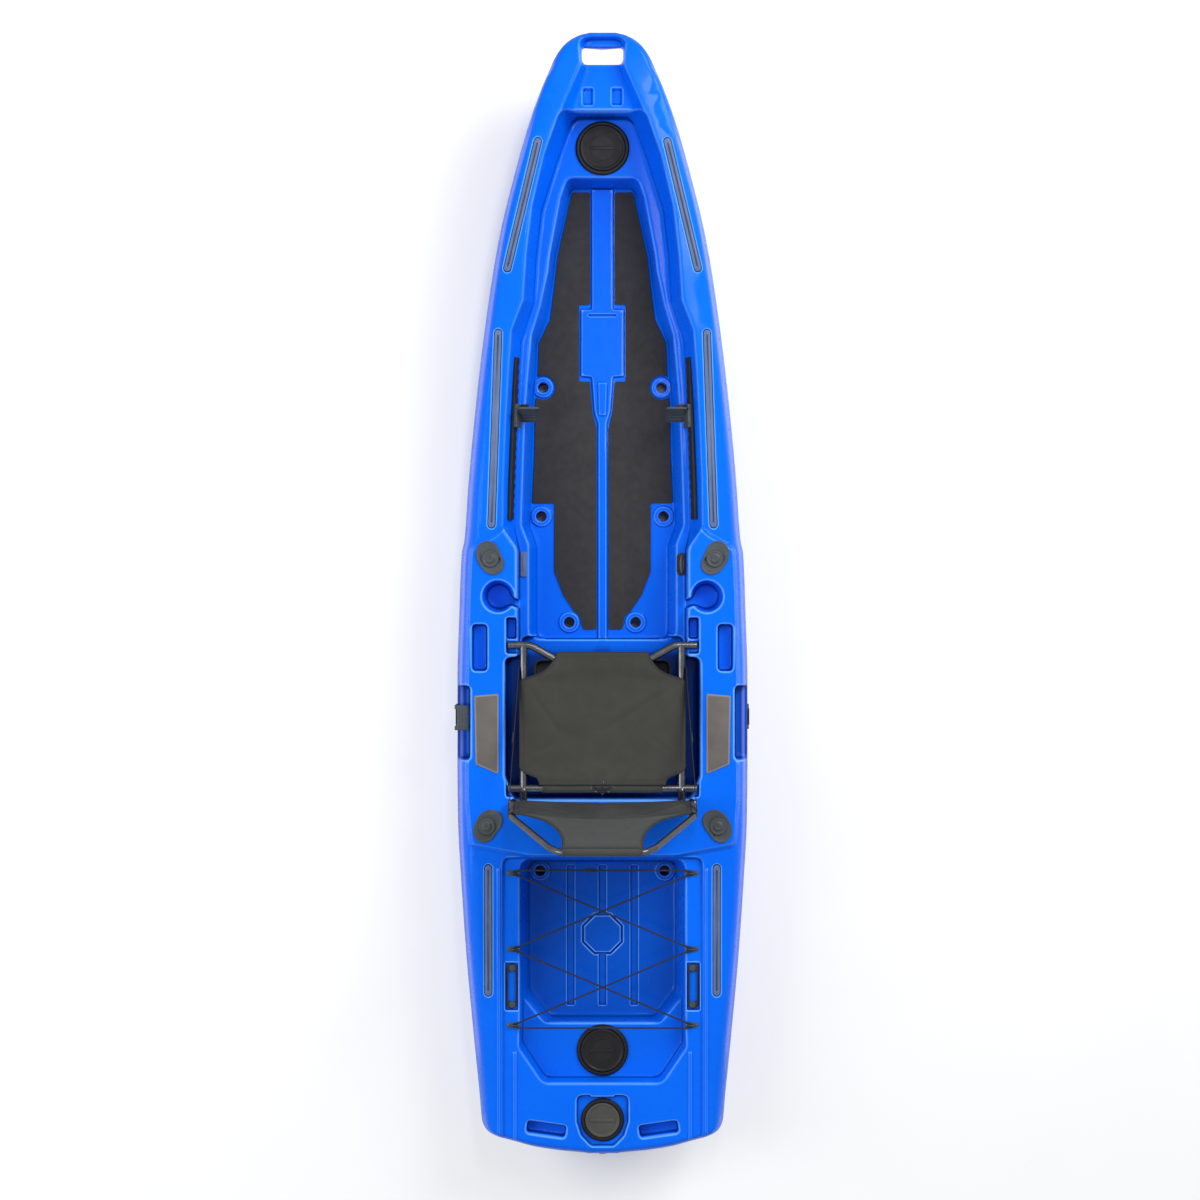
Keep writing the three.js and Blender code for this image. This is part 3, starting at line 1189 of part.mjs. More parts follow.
function seatSling() {
  const half = RAIL_X + SEAT_TUBE - 3 * GAP;
  const rear = SEAT_REAR + SEAT_TUBE + GAP;
  const length = SEAT_FRONT_DIP + 2 * SEAT_TUBE - rear;
  const offset = SEAT_HEIGHT + SEAT_TUBE + GAP;
  const rings = seat_sling_shares.map(([along, width, sag]) => {
    const y = rear + along * length;
    return slingRow(width * half, offset, sag * SLING_SAG, (x, z) => vector(x, y, z));
  });
  return loft(rings);
}

const back_sling_shares = [
  [0, 0.98, 0.3], [0.2, 0.98, 1], [0.36, 0.98, 0.8], [0.42, 0.82, 0.7], [0.52, 0.63, 0.6],
  [0.7, 0.5, 0.4], [0.88, 0.44, 0.2], [1, 0.43, 0],
];

function backSling() {
  const low = BACK_PIVOT_HEIGHT + BACK_SLING_RISE;
  const height = BACK_TOP_HEIGHT - low;
  const rings = back_sling_shares.map(([up, width, sag]) => {
    const z = low + up * height;
    const top = z > BACK_BEND_HEIGHT;
    const from = top ? [BACK_BEND_Y, BACK_BEND_HEIGHT] : [BACK_PIVOT_Y, BACK_PIVOT_HEIGHT];
    const to = top ? [BACK_TOP_Y, BACK_TOP_HEIGHT] : [BACK_BEND_Y, BACK_BEND_HEIGHT];
    const frameY = THREE.MathUtils.mapLinear(z, from[1], to[1], from[0], to[0]);
    const lean = Math.atan2(to[0] - from[0], to[1] - from[1]);
    const offset = (BACK_TUBE + GAP) / Math.cos(lean);
    return slingRow(width * BACK_SPACING / 2, offset, sag * SLING_SAG,
      (x, forward) => vector(-x, frameY + forward, z));
  });
  return loft(rings);
}

// Recline strap: webbing on edge, from the seat's rail back and up to the back's tube
function reclineStrap() {
  const side = 2 * GAP + STRAP_THICKNESS / 2;
  const low = vector(RAIL_X + SEAT_TUBE + side, STRAP_FRONT, SEAT_HEIGHT);
  const high = vector(BACK_SPACING / 2 + BACK_TUBE + side, STRAP_REAR, STRAP_REAR_HEIGHT);
  const along = high.clone().sub(low).normalize();
  const across = along.clone().cross(vector(1, 0, 0)).setLength(STRAP_WEBBING / 2);
  const thick = vector(STRAP_THICKNESS / 2, 0, 0);
  const ring = (p) => [
    p.clone().add(thick).sub(across), p.clone().add(thick).add(across),
    p.clone().sub(thick).add(across), p.clone().sub(thick).sub(across),
  ];
  return loft([ring(low), ring(high)]);
}

function finish(color, roughness, metalness = 0) {
  return new THREE.MeshStandardMaterial({ color, roughness, metalness });
}

const HULL_BLUE = finish(0x0562e0, 0.28);
const LID_BLACK = finish(0x26262a, 0.55);
const LID_GREY = finish(0x525451, 0.6);
const SEAL_RUBBER = finish(0x1b1b1c, 0.9);
const TRACK_GREY = finish(0x646f86, 0.45, 0.3);
const FOAM_GREY = finish(0x3b3a3f, 0.95);
const FOAM_LIGHT = finish(0x6a6a6b, 0.95);
const FITTING_GREY = finish(0x485360, 0.55);
const FITTING_BLACK = finish(0x2b2c2e, 0.5);
const TUBE_GREY = finish(0x55585c, 0.35, 0.8);
const SEAT_FABRIC = finish(0x42433f, 0.9);
const BACK_FABRIC = finish(0x555653, 0.9);
const WEBBING = finish(0x222324, 0.85);
const CORD_BLACK = finish(0x1f2430, 0.7);

const kayak = new THREE.Group();
const seat = new THREE.Group();
kayak.add(seat);

function add(name, geometry, material, parent = kayak) {
  const mesh = new THREE.Mesh(geometry, material);
  mesh.name = name;
  parent.add(mesh);
  return mesh;
}

function addPair(name, starboard, material, port = mirrored(starboard)) {
  add(`${name}_left`, port, material);
  add(`${name}_right`, starboard, material);
}

add("hull", geometryOf(makeHull()), HULL_BLUE);
for (const { name, radius, y, floor } of HATCHES) {
  const finishes = name === "stern_hatch" ? LID_GREY : LID_BLACK;
  const rows = [
    ["rim", hatchRim(radius), LID_BLACK],
    ["seal", hatchSeal(radius), SEAL_RUBBER],
    ["lid", geometryOf(hatchLid(radius)), finishes],
  ];
  for (const [piece, geometry, material] of rows) {
    add(`${name}_${piece}`, geometry, material).position.set(0, y, floor + GAP);
  }
}
for (const [where, shares] of Object.entries(track_places_share)) {
  addPair(`gear_track_${where}`, gearTrack(line(shares)), TRACK_GREY);
}
for (const [where, share] of Object.entries(rod_holder_places_share)) {
  const turn = where === "front" ? FRONT_HOLDER_TURN : REAR_HOLDER_TURN;
  addPair(`rod_holder_${where}`, rodHolder(share, turn), FITTING_GREY);
  addPair(`rod_cap_${where}`, rodCap(share), FITTING_GREY);
}
addPair("floor_pad", floorPad(), FOAM_GREY);
addPair("side_pad", sidePad(), FOAM_LIGHT);
add("seat_tray", seatTray(), FITTING_BLACK);
addPair("foot_rail", footRail(), FITTING_BLACK);
addPair("foot_pedal", footPedal(), FITTING_BLACK);
addPair("pedal_catch", pedalCatch(), FITTING_BLACK);
addPair("side_handle_anchor", sideHandleAnchor(), FITTING_BLACK);
addPair("side_handle", sideHandleDown(), FITTING_GREY, mirrored(sideHandleUp()));
addPair("rear_handle", rearHandle(), FITTING_BLACK);
const EYE_NAMES = ["front", "middle", "rear"];
EYE_NAMES.forEach((where, i) => {
  addPair(`pad_eye_${where}`, padEye(eye_places_share[i]), FITTING_GREY);
});
add("shock_cord", shockCord(), CORD_BLACK);
add("cord_hook", cordHook(), FITTING_BLACK);
add("drain_plug", drainPlug(), FITTING_BLACK);
add("ledge_plate", ledgePlate(), TRACK_GREY);
add("cable_port", cablePort(), FITTING_BLACK);
add("seat_base_frame", seatBase(), TUBE_GREY, seat);
add("seat_back_frame", seatBackFrame(), TUBE_GREY, seat);
add("seat_sling", seatSling(), SEAT_FABRIC, seat);
add("back_sling", backSling(), BACK_FABRIC, seat);
add("recline_strap_right", reclineStrap(), WEBBING, seat);
add("recline_strap_left", mirrored(reclineStrap()), WEBBING, seat);

export default kayak;
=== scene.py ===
"""Fishing kayak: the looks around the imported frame. Shapes are in millimetres, then set in metres."""
import math

import bmesh
import bpy
import numpy as np
from mathutils import Matrix, Vector
from mathutils.geometry import delaunay_2d_cdt
from mathutils.kdtree import KDTree


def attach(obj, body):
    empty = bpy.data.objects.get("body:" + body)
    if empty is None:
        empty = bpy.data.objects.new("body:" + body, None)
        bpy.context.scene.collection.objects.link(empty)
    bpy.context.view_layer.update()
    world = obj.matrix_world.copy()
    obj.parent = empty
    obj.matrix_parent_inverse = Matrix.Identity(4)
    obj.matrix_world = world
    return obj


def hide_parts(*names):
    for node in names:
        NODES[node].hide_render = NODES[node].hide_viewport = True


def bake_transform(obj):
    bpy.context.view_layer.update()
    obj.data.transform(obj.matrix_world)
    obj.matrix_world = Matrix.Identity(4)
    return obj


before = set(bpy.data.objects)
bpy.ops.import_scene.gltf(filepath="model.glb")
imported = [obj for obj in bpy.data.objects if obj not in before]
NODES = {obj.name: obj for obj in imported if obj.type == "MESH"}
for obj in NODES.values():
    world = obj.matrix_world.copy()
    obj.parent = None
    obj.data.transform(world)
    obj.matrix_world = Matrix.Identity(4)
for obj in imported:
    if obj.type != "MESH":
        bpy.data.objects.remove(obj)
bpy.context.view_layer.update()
MM = 0.001

LENGTH = 3660.0
BEAM = 960.0
HL = LENGTH / 2
HB = BEAM / 2
DECK = 300.0
BOW = 395.0
STERN = 292.0
FOOTWELL_FLOOR = 115.0
LEDGE = 215.0
FORE_TRAY = 345.0
SEAT_WELL = 150.0
TANK = 150.0
SHELF = 222.0
PLATEAU = 315.0
STERN_BAND = 282.0
STERN_RECESS = 264.0

# The camera looks straight down, as the photograph does, with this many millimetres of deck to a pixel
CAMERA_HEIGHT = 8.8
PIXEL = 3.268
VIEW_WIDTH = 1200 * PIXEL * MM


def make_camera():
    data = bpy.data.cameras.new("camera")
    data.sensor_width = 36.0
    data.lens = data.sensor_width * (CAMERA_HEIGHT - DECK * MM) / VIEW_WIDTH
    camera = bpy.data.objects.new("camera", data)
    camera.location = (-2.5 * PIXEL * MM, -3.0 * PIXEL * MM, CAMERA_HEIGHT)
    bpy.context.scene.collection.objects.link(camera)
    bpy.context.scene.camera = camera


make_camera()

# Shares of the half length from the middle, then of the half beam or height
HALF_BEAM = [
    (-1, 0.1), (-0.9946, 0.296), (-0.9875, 0.476), (-0.98, 0.585), (-0.973, 0.684), (-0.966, 0.755),
    (-0.959, 0.799), (-0.945, 0.827), (-0.9, 0.845), (-0.8, 0.885), (-0.65, 0.938), (-0.5, 0.977),
    (-0.4, 0.996), (-0.3, 1), (-0.15, 1), (-0.04, 0.988), (0.08, 0.97), (0.1, 0.953), (0.21, 0.922),
    (0.35, 0.871), (0.5, 0.8), (0.64, 0.711), (0.78, 0.575), (0.852, 0.49), (0.9, 0.42),
    (0.941, 0.35), (0.97, 0.282), (0.986, 0.221), (0.9964, 0.146), (1, 0.09)]
KEEL_RISE = [
    (-1, 0.34), (-0.985, 0.25), (-0.965, 0.17), (-0.93, 0.1), (-0.87, 0.04), (-0.75, 0), (0.5, 0),
    (0.62, 0.01), (0.75, 0.03), (0.85, 0.07), (0.9, 0.12), (0.925, 0.22), (0.94, 0.45), (0.95, 0.78),
    (0.965, 0.95), (1, 1)]
SHEER = [(-1, -1), (-0.6, -1), (-0.45, 0), (0.15, 0), (0.3, 0.06), (0.5, 0.28), (0.7, 0.63),
         (0.9, 0.95), (0.97, 1), (1, 0.85)]
FULLNESS = [(-1, 0.75), (-0.8, 1), (0.3, 1), (0.6, 0.7), (0.8, 0.3), (0.92, 0), (1, 0)]
TOP_MIDDLE = [(0, 1), (0.85, 1), (0.895, 1.0), (0.912, 0.99), (0.93, 0.965), (0.955, 0.915), (0.985, 0.8),
              (0.996, 0.7), (1, 0.64)]
TOP_END = [(0, 1), (0.85, 1), (0.9, 0.998), (0.94, 0.985), (0.965, 0.96), (0.99, 0.9), (1, 0.82)]
BOTTOM_MIDDLE = [(0, 0), (0.1, 0), (0.25, 0.05), (0.42, 0.05), (0.56, 0), (0.68, 0), (0.82, 0.07),
                 (0.92, 0.22), (0.975, 0.42), (0.994, 0.56), (1, 0.64)]
BOTTOM_END = [(0, 0), (0.06, 0.02), (0.16, 0.07), (0.3, 0.14), (0.45, 0.23), (0.58, 0.33), (0.71, 0.45),
              (0.83, 0.58), (0.93, 0.71), (1, 0.82)]
# Where the outline closes at both ends, and how the sides would run on past there
END_ZONE = 110.0
END_FADE = 70.0
END_NEAR = 200.0
END_OUTLINE = 260.0
END_ROWS = 150.0
SIDE_RUN = [(-1, 0.812)] + [row for row in HALF_BEAM if -0.95 < row[0] < 0.942] + [(1, 0.262)]


def smooth(table, at):
    """A smooth value between the rows of a table, which never swings past a row."""
    xs = np.array([row[0] for row in table], float)
    ys = np.array([row[1] for row in table], float)
    width = np.diff(xs)
    slope = np.diff(ys) / width
    tangent = np.zeros(len(xs))
    product = slope[:-1] * slope[1:]
    total = slope[:-1] + slope[1:]
    safe = np.where(product > 0, total, 1.0)
    tangent[1:-1] = np.where(product > 0, 2 * slope[:-1] * slope[1:] / safe, 0.0)
    at = np.clip(np.asarray(at, float), xs[0], xs[-1])
    row = np.clip(np.searchsorted(xs, at, side="right") - 1, 0, len(xs) - 2)
    s = (at - xs[row]) / width[row]
    rise = ys[row + 1] - ys[row]
    a = tangent[row] * width[row]
    b = tangent[row + 1] * width[row]
    return ys[row] + s * (a + s * (3 * rise - 2 * a - b + s * (a + b - 2 * rise)))


def deck_height(y):
    share = smooth(SHEER, y / HL)
    target = np.where(share < 0, STERN, BOW)
    return DECK + (target - DECK) * np.abs(share)


def keel_height(y):
    return smooth(KEEL_RISE, y / HL) * DECK


def half_beam(y):
    return smooth(HALF_BEAM, y / HL) * HB


def rounded(points, radius, steps=5):
    """A closed outline with its corners rounded."""
    points = [np.array(p, float) for p in points]
    out = []
    count = len(points)
    for i, p in enumerate(points):
        before = points[i - 1] - p
        after = points[(i + 1) % count] - p
        la, lb = np.linalg.norm(before), np.linalg.norm(after)
        turn = math.acos(np.clip(-before.dot(after) / (la * lb), -1, 1))
        cut = min(radius * math.tan(turn / 2), 0.48 * la, 0.48 * lb)
        if cut < 0.5:
            out.append(p)
            continue
        a, b = p + before / la * cut, p + after / lb * cut
        for k in range(steps + 1):
            t = k / steps
            out.append((1 - t) ** 2 * a + 2 * t * (1 - t) * p + t * t * b)
    return np.array(out)


def both_sides(shares, radius):
    starboard = [(x * HB, y * HL) for x, y in shares]
    port = [(-x, y) for x, y in starboard]
    return rounded(starboard[::-1] + port, radius)


def stadium(length, width, x=0.0, y=0.0, turn=0.0, steps=9, along=1):
    """An outline with half round ends, and more points along its sides if asked."""
    r = width / 2
    points = []
    for side in (1, -1):
        for i in range(steps + 1):
            a = (i / steps - 0.5) * math.pi
            points.append((side * (length / 2 - r + r * math.cos(a)), side * r * math.sin(a)))
        points += [(side * (length / 2 - r) * (1 - 2 * i / along), side * r) for i in range(1, along)]
    return placed(np.array(points), x, y, turn)


def box_outline(length, width, corner, x=0.0, y=0.0, turn=0.0):
    a, b = length / 2, width / 2
    return placed(rounded([(a, -b), (a, b), (-a, b), (-a, -b)], corner), x, y, turn)


def placed(points, x, y, turn):
    c, s = math.cos(turn), math.sin(turn)
    return points @ np.array([[c, s], [-s, c]]) + (x, y)


def signed(outline, x, y, reach=60.0):
    """Distance to a closed outline, positive inside; far outside it is just -reach."""
    out = np.full(x.shape, -reach)
    low, high = outline.min(0) - reach, outline.max(0) + reach
    near = np.nonzero((x > low[0]) & (x < high[0]) & (y > low[1]) & (y < high[1]))[0]
    if not len(near):
        return out
    for part in np.array_split(near, max(1, len(near) // 4000)):
        px, py = x[part][:, None], y[part][:, None]
        a = outline
        b = np.roll(outline, -1, axis=0)
        ex, ey = (b - a)[:, 0], (b - a)[:, 1]
        t = ((px - a[:, 0]) * ex + (py - a[:, 1]) * ey) / np.maximum(ex * ex + ey * ey, 1e-9)
        t = np.clip(t, 0, 1)
        d = np.sqrt(((px - a[:, 0] - t * ex) ** 2 + (py - a[:, 1] - t * ey) ** 2).min(1))
        crosses = (a[:, 1] > py) != (b[:, 1] > py)
        at = a[:, 0] + (py - a[:, 1]) * ex / np.where(np.abs(ey) < 1e-9, 1e-9, ey)
        inside = (crosses & (px < at)).sum(1) % 2 == 1
        out[part] = np.where(inside, d, -d)
    return out


def profile(s, width, depth, top_radius, foot_radius):
    """The drop of a wall that starts at s = 0 and reaches its foot at s = width, with round edges."""
    depth = np.maximum(depth, 0.0)
    angle = np.arctan2(depth, width)
    limit = depth / np.maximum(1 - np.cos(angle), 1e-6) / 2.05
    r1 = np.minimum(top_radius, limit)
    r2 = np.minimum(foot_radius, limit)
    t1 = r1 * np.tan(angle / 2)
    t2 = r2 * np.tan(angle / 2)
    drop = -s * np.tan(angle)
    top = -(r1 - np.sqrt(np.maximum(r1 ** 2 - (s + t1) ** 2, 0)))
    foot = -depth + r2 - np.sqrt(np.maximum(r2 ** 2 - (s - width - t2) ** 2, 0))
    drop = np.where(s < t1 * np.cos(angle), top, drop)
    drop = np.where(s > width - t2 * np.cos(angle), foot, drop)
    drop = np.where(s <= -t1, 0.0, drop)
    drop = np.where(s >= width + t2, -depth, drop)
    return np.where(depth <= 0, 0.0, drop)


class Pocket:
    """A hollow whose wall runs from its rim outline down to its floor outline."""

    def __init__(self, rim, floor_height, floor=None, draft=3.0, top=7.0, foot=9.0, between=0):
        self.rim = rim
        self.between = between
        self.floor = floor
        self.floor_height = floor_height
        self.draft = draft
        self.top = top
        self.foot = foot

    def apply(self, x, y, z):
        s = signed(self.rim, x, y)
        near = s > -2.5 * self.top
        if not near.any():
            return z
        width = np.full(x.shape, self.draft)
        if self.floor is not None:
            inner = signed(self.floor, x, y, 200.0)
            width = np.maximum(np.maximum(s, 0) - inner, self.draft)
            s = np.where((s > 0) & (inner > 0), width + inner, s)
        floor = self.floor_height
        if callable(floor):
            floor = floor(x, y)
        return z + np.where(near, profile(s, width, z - floor, self.top, self.foot), 0.0)

    def lines(self):
        top, foot = self.top, self.foot
        rows = [(self.rim, d) for d in (-1.25 * top - 4, -1.25 * top, -0.7 * top, -0.25 * top, 0.0)]
        if self.floor is None:
            rows += [(self.rim, self.draft * (k + 1) / (self.between + 1)) for k in range(self.between)]
            backs = (0, 0.3 * foot, 0.8 * foot, 1.25 * foot, 1.25 * foot + 4)
            rows += [(self.rim, self.draft + d) for d in backs]
        else:
            rows += [(self.rim, 0.35 * top)]
            rows += [(self.floor, d) for d in (-0.35 * foot, 0, 0.35 * foot, 0.8 * foot, 1.25 * foot + 3)]
        return rows


class Rise:
    """A raised pad, whose sloped edge lies inside its outline."""

    def __init__(self, rim, top, slope=3.0, round_by=2.0):
        self.rim = rim
        self.top = top
        self.slope = slope
        self.round_by = round_by

    def apply(self, x, y, z):
        s = signed(self.rim, x, y)
        top = self.top(x, y) if callable(self.top) else self.top
        depth = np.maximum(top - z, 0.0)
        width = np.full(x.shape, self.slope)
        return z + depth + profile(self.slope - s, width, depth, self.round_by, self.round_by)

    def lines(self):
        r = self.round_by
        return [(self.rim, d) for d in (-1.2 * r - 4, -1.2 * r, -0.4 * r, self.slope / 2,
                                        self.slope + 0.3 * r, self.slope + 1.2 * r, self.slope + 1.2 * r + 4)]


class Brim:
    """The rounded lip of a hole that goes right through."""

    def __init__(self, rim, round_by):
        self.rim = rim
        self.round_by = round_by

    def apply(self, x, y, z):
        r = self.round_by
        s = np.clip(signed(self.rim, x, y) + r, 0, r)
        return z - (r - np.sqrt(np.maximum(r * r - s * s, 0)))

    def lines(self):
        r = self.round_by
        return [(self.rim, d) for d in (-r, -0.6 * r, -0.28 * r, -0.08 * r, 0.0)]


# Outlines of what is moulded into the hull: starboard points from the bow aft, as shares
FORE_TRAY_RIM = [(0.085, 0.9935), (0.137, 0.99), (0.158, 0.983), (0.146, 0.941), (0.282, 0.861), (0.376, 0.8)]
FORE_TRAY_FLOOR = [(0.075, 0.989), (0.118, 0.986), (0.132, 0.979), (0.115, 0.941), (0.209, 0.861), (0.3, 0.8)]
COCKPIT_RIM = [
    (0.289, 0.865), (0.398, 0.784), (0.48, 0.695), (0.52, 0.609), (0.541, 0.529), (0.62, 0.476),
    (0.641, 0.402), (0.661, 0.309), (0.677, 0.209), (0.68, 0.123), (0.585, 0.087), (0.585, -0.12)]
COCKPIT_LEDGE = [
    (0.2, 0.862), (0.313, 0.784), (0.42, 0.695), (0.457, 0.609), (0.473, 0.53), (0.56, 0.46),
    (0.572, 0.402), (0.584, 0.309), (0.594, 0.209), (0.6, 0.12), (0.57, 0.082), (0.57, -0.118)]
FOOTWELL_RIM = [
    (0.245, 0.757), (0.292, 0.721), (0.364, 0.62), (0.378, 0.588), (0.43, 0.525), (0.49, 0.473),
    (0.514, 0.405), (0.531, 0.348), (0.545, 0.255), (0.56, 0.13), (0.508, 0.095), (0.508, -0.077)]
FOOTWELL_BASE = [
    (0.225, 0.744), (0.24, 0.72), (0.33, 0.62), (0.35, 0.57), (0.385, 0.506), (0.46, 0.463),
    (0.466, 0.405), (0.487, 0.348), (0.492, 0.255), (0.507, 0.13), (0.458, 0.092), (0.458, -0.077)]
SEAT_WELL_RIM = [
    (0.564, -0.07), (0.564, -0.107), (0.668, -0.107), (0.668, -0.3208), (0.622, -0.352), (0.599, -0.362)]
TANK_RIM = [(0.568, -0.468), (0.568, -0.762), (0.575, -0.807), (0.409, -0.871)]
TANK_SHELF_EDGE = [(0.545, -0.474), (0.545, -0.762), (0.55, -0.8), (0.39, -0.8645)]
TANK_WELL_RIM = [(0.545, -0.474), (0.545, -0.722), (0.4, -0.768)]
TANK_WELL_BASE = [(0.507, -0.479), (0.507, -0.709), (0.357, -0.761)]
STERN_BAND_EDGE = [(0.687, -0.464), (0.687, -1.03)]
STERN_RECESS_EDGE = [(0.18, -0.891), (0.18, -0.94), (0.15, -0.965), (0.08, -0.984)]
PLATEAU_EDGE = [
    (0.66, 0.13), (0.738, 0.1125), (0.91, 0.0875), (0.925, 0), (0.938, -0.15), (0.938, -0.36),
    (0.912, -0.446), (0.493, -0.466)]
FLOOR_RIB = [
    (0.078, 0.744), (0.078, 0.525), (0.153, 0.525), (0.153, 0.402), (0.078, 0.4), (0.06, 0.34),
    (0.034, 0.316), (0.034, -0.077)]
RIB_BAR = [(0.036, 0.392), (0.03, 0.33)]

HATCHES = {"bow": (89.0, 0.809, LEDGE), "rear": (85.0, -0.816, SHELF), "stern": (71.0, -0.937, STERN_RECESS)}
SCUPPERS = [(0.412, 0.382), (0.425, 0.147), (0.231, -0.046), (0.431, -0.497)]
TRACKS = {
    "bow": ((0.432, 0.812), (0.651, 0.579)),
    "middle": ((0.708, 0.476), (0.757, 0.124)),
    "rear": ((0.778, -0.479), (0.778, -0.713))}
ROD_HOLDERS = {"front": (0.763, 0.068, -27.0), "rear": (0.785, -0.409, 33.0)}
CUP = (0.711, 0.001)
MUG_SLOT = [(20, -30), (54, -15), (98, -19), (98, 19), (54, 15), (20, 30)]
SCUPPER_RADIUS = 17.0
BOSS_RADIUS = 36.0
BORE_FLOOR = 45.0
BORE_INSET = 23.7
NOSE_ROUND = 24.0
CUP_FLOOR = PLATEAU - 95
TACKLE_SLOT = (0.836, -0.0904)
SIDE_SCOOP = (0.897, -0.225)
STERN_GRIP = (0.384, -0.953)
REAR_HANDLE = (0.62, -0.697)
FOOTPRINT = (0.0986, 0.889)
LEDGE_FITTING = (0.541, 0.059)
HAND_HOLD = 0.9616
TANK_PANEL = -0.612
TANK_GROOVE = (0.742, 0.487)


def at_share(share):
    return share[0] * HB, share[1] * HL


def track_recess(run):
    (ax, ay), (bx, by) = at_share(run[0]), at_share(run[1])
    length = math.hypot(bx - ax, by - ay)
    turn = math.atan2(by - ay, bx - ax)
    outline = stadium(length + 7, 27, (ax + bx) / 2, (ay + by) / 2, turn)
    return Pocket(outline, lambda x, y: deck_height(y) - 12.0, draft=1.5, top=3.0, foot=2.0)


def disc(radius, x=0.0, y=0.0, steps=9):
    return stadium(2 * radius, 2 * radius, x, y, steps=steps)


def box_at(share, length, width, corner, turn=0.0, outboard=0.0):
    x, y = at_share(share)
    return box_outline(length, width, corner, x + outboard, y, turn)


def octagon(radius):
    turns = [math.radians(22.5 + 45 * i) for i in range(8)]
    return rounded([(radius * math.cos(a), radius * math.sin(a)) for a in turns], 6) + (0, TANK_PANEL * HL)


def main_forms():
    """The large forms of the deck, and the raised strips of the stern."""
    return [
        Rise(both_sides(PLATEAU_EDGE, 30), PLATEAU, slope=12.0, round_by=5.0),
        Pocket(both_sides(STERN_BAND_EDGE, 30), STERN_BAND, draft=7.0, top=5.0, foot=5.0),
        Pocket(both_sides(FORE_TRAY_RIM, 30), FORE_TRAY, both_sides(FORE_TRAY_FLOOR, 24), top=9.0, foot=12.0),
        Pocket(both_sides(COCKPIT_RIM, 46), LEDGE, both_sides(COCKPIT_LEDGE, 40), draft=5.0, top=9.0,
               foot=10.0),
        Pocket(both_sides(SEAT_WELL_RIM, 26), SEAT_WELL, draft=4.0, top=8.0, foot=14.0),
        Pocket(both_sides(FOOTWELL_RIM, 36), FOOTWELL_FLOOR, both_sides(FOOTWELL_BASE, 32), draft=5.0,
               top=8.0, foot=14.0),
        Pocket(both_sides(TANK_RIM, 40), SHELF, both_sides(TANK_SHELF_EDGE, 36), draft=5.0, top=8.0,
               foot=8.0),
        Pocket(both_sides(TANK_WELL_RIM, 30), TANK, both_sides(TANK_WELL_BASE, 28), draft=5.0, top=7.0,
               foot=14.0),
        Pocket(both_sides(STERN_RECESS_EDGE, 24), STERN_RECESS, draft=4.0, top=4.0, foot=5.0),
        Rise(box_outline(84, 34, 8, 0, -1623), STERN_BAND, slope=4.0, round_by=2.5),
        Rise(box_outline(17, 290, 7, 287, -1632), STERN_BAND + 4, slope=4.0, round_by=2.0),
        Rise(box_outline(15, 890, 6, 340, -1330), lambda x, y: deck_height(y) + 3.5, slope=4.0, round_by=2.0)]


def recesses():
    """Cup and tackle holders, scoop, grip, seat notches, handle recess, footprint, and the footwell's rib."""
    cup_x, cup_y = at_share(CUP)
    mug = placed(rounded(MUG_SLOT, 14), cup_x, cup_y, math.radians(-160))
    grip = box_at(STERN_GRIP, 132, 44, 14.5, math.radians(8))
    return [
        Pocket(disc(54, cup_x, cup_y, 24), CUP_FLOOR, draft=14.0, top=5.0, foot=9.0, between=3),
        Pocket(mug, CUP_FLOOR, draft=4.0, top=5.0, foot=7.0),
        Pocket(box_at(TACKLE_SLOT, 53, 156, 17), PLATEAU - 42, draft=3.0, top=5.0, foot=9.0),
        Pocket(box_at(SIDE_SCOOP, 200, 248, 17, outboard=100), PLATEAU - 110, draft=6.0, top=8.0, foot=16.0),
        Pocket(grip, STERN_BAND - 45, draft=3.0, top=6.0, foot=10.0),
        *[Pocket(box_outline(56, 58, 10, 288, y), 290, draft=2.0, top=5.0, foot=8.0)
          for y in (SEAT_FRONT, SEAT_REAR)],
        Pocket(box_outline(36, 72, 10, 298, -102), PLATEAU - 55, draft=2.5, top=5.0, foot=7.0),
        Pocket(box_at(REAR_HANDLE, 43, 157, 5), STERN_BAND - 13, draft=0.6, top=1.6, foot=0.5),
        Pocket(box_at(FOOTPRINT, 38, 60, 9.5), FORE_TRAY - 13, draft=7.0, top=3.0, foot=5.0),
        Rise(both_sides(FLOOR_RIB, 5), FOOTWELL_FLOOR + 9, slope=4.0, round_by=3.0),
        Rise(both_sides(RIB_BAR, 10), FOOTWELL_FLOOR + 15, slope=4.0, round_by=2.5),
        Pocket(stadium(96, 9, 0, 940), FOOTWELL_FLOOR + 5.0, draft=2.0, top=2.0, foot=1.0)]


def scupper_forms():
    """A raised boss round the brim of each scupper, the last of which is in the tank well."""
    forms = []
    for share in SCUPPERS:
        x, y = at_share(share)
        floor = TANK if share == SCUPPERS[-1] else FOOTWELL_FLOOR
        forms += [Rise(disc(BOSS_RADIUS, x, y), floor + 6, slope=4.0, round_by=3.0),
                  Brim(disc(SCUPPER_RADIUS, x, y), 5.0)]
    return forms


def tank_forms():
    """Grooves along the tank well's floor, and its eight-sided panel inside a groove."""
    fore, aft = TANK_GROOVE[1], TANK_GROOVE[0]
    grooves = [box_outline(27, (aft - fore) * HL, 5, side * HB, -(aft + fore) / 2 * HL) for side in (0, 0.22)]
    return [*[Pocket(groove, TANK - 5.0, draft=3.0, top=2.5, foot=2.0) for groove in grooves],
            Pocket(octagon(74), TANK - 5.0, draft=1.5, top=1.5, foot=1.0),
            Rise(octagon(67), TANK, slope=1.5, round_by=1.2)]


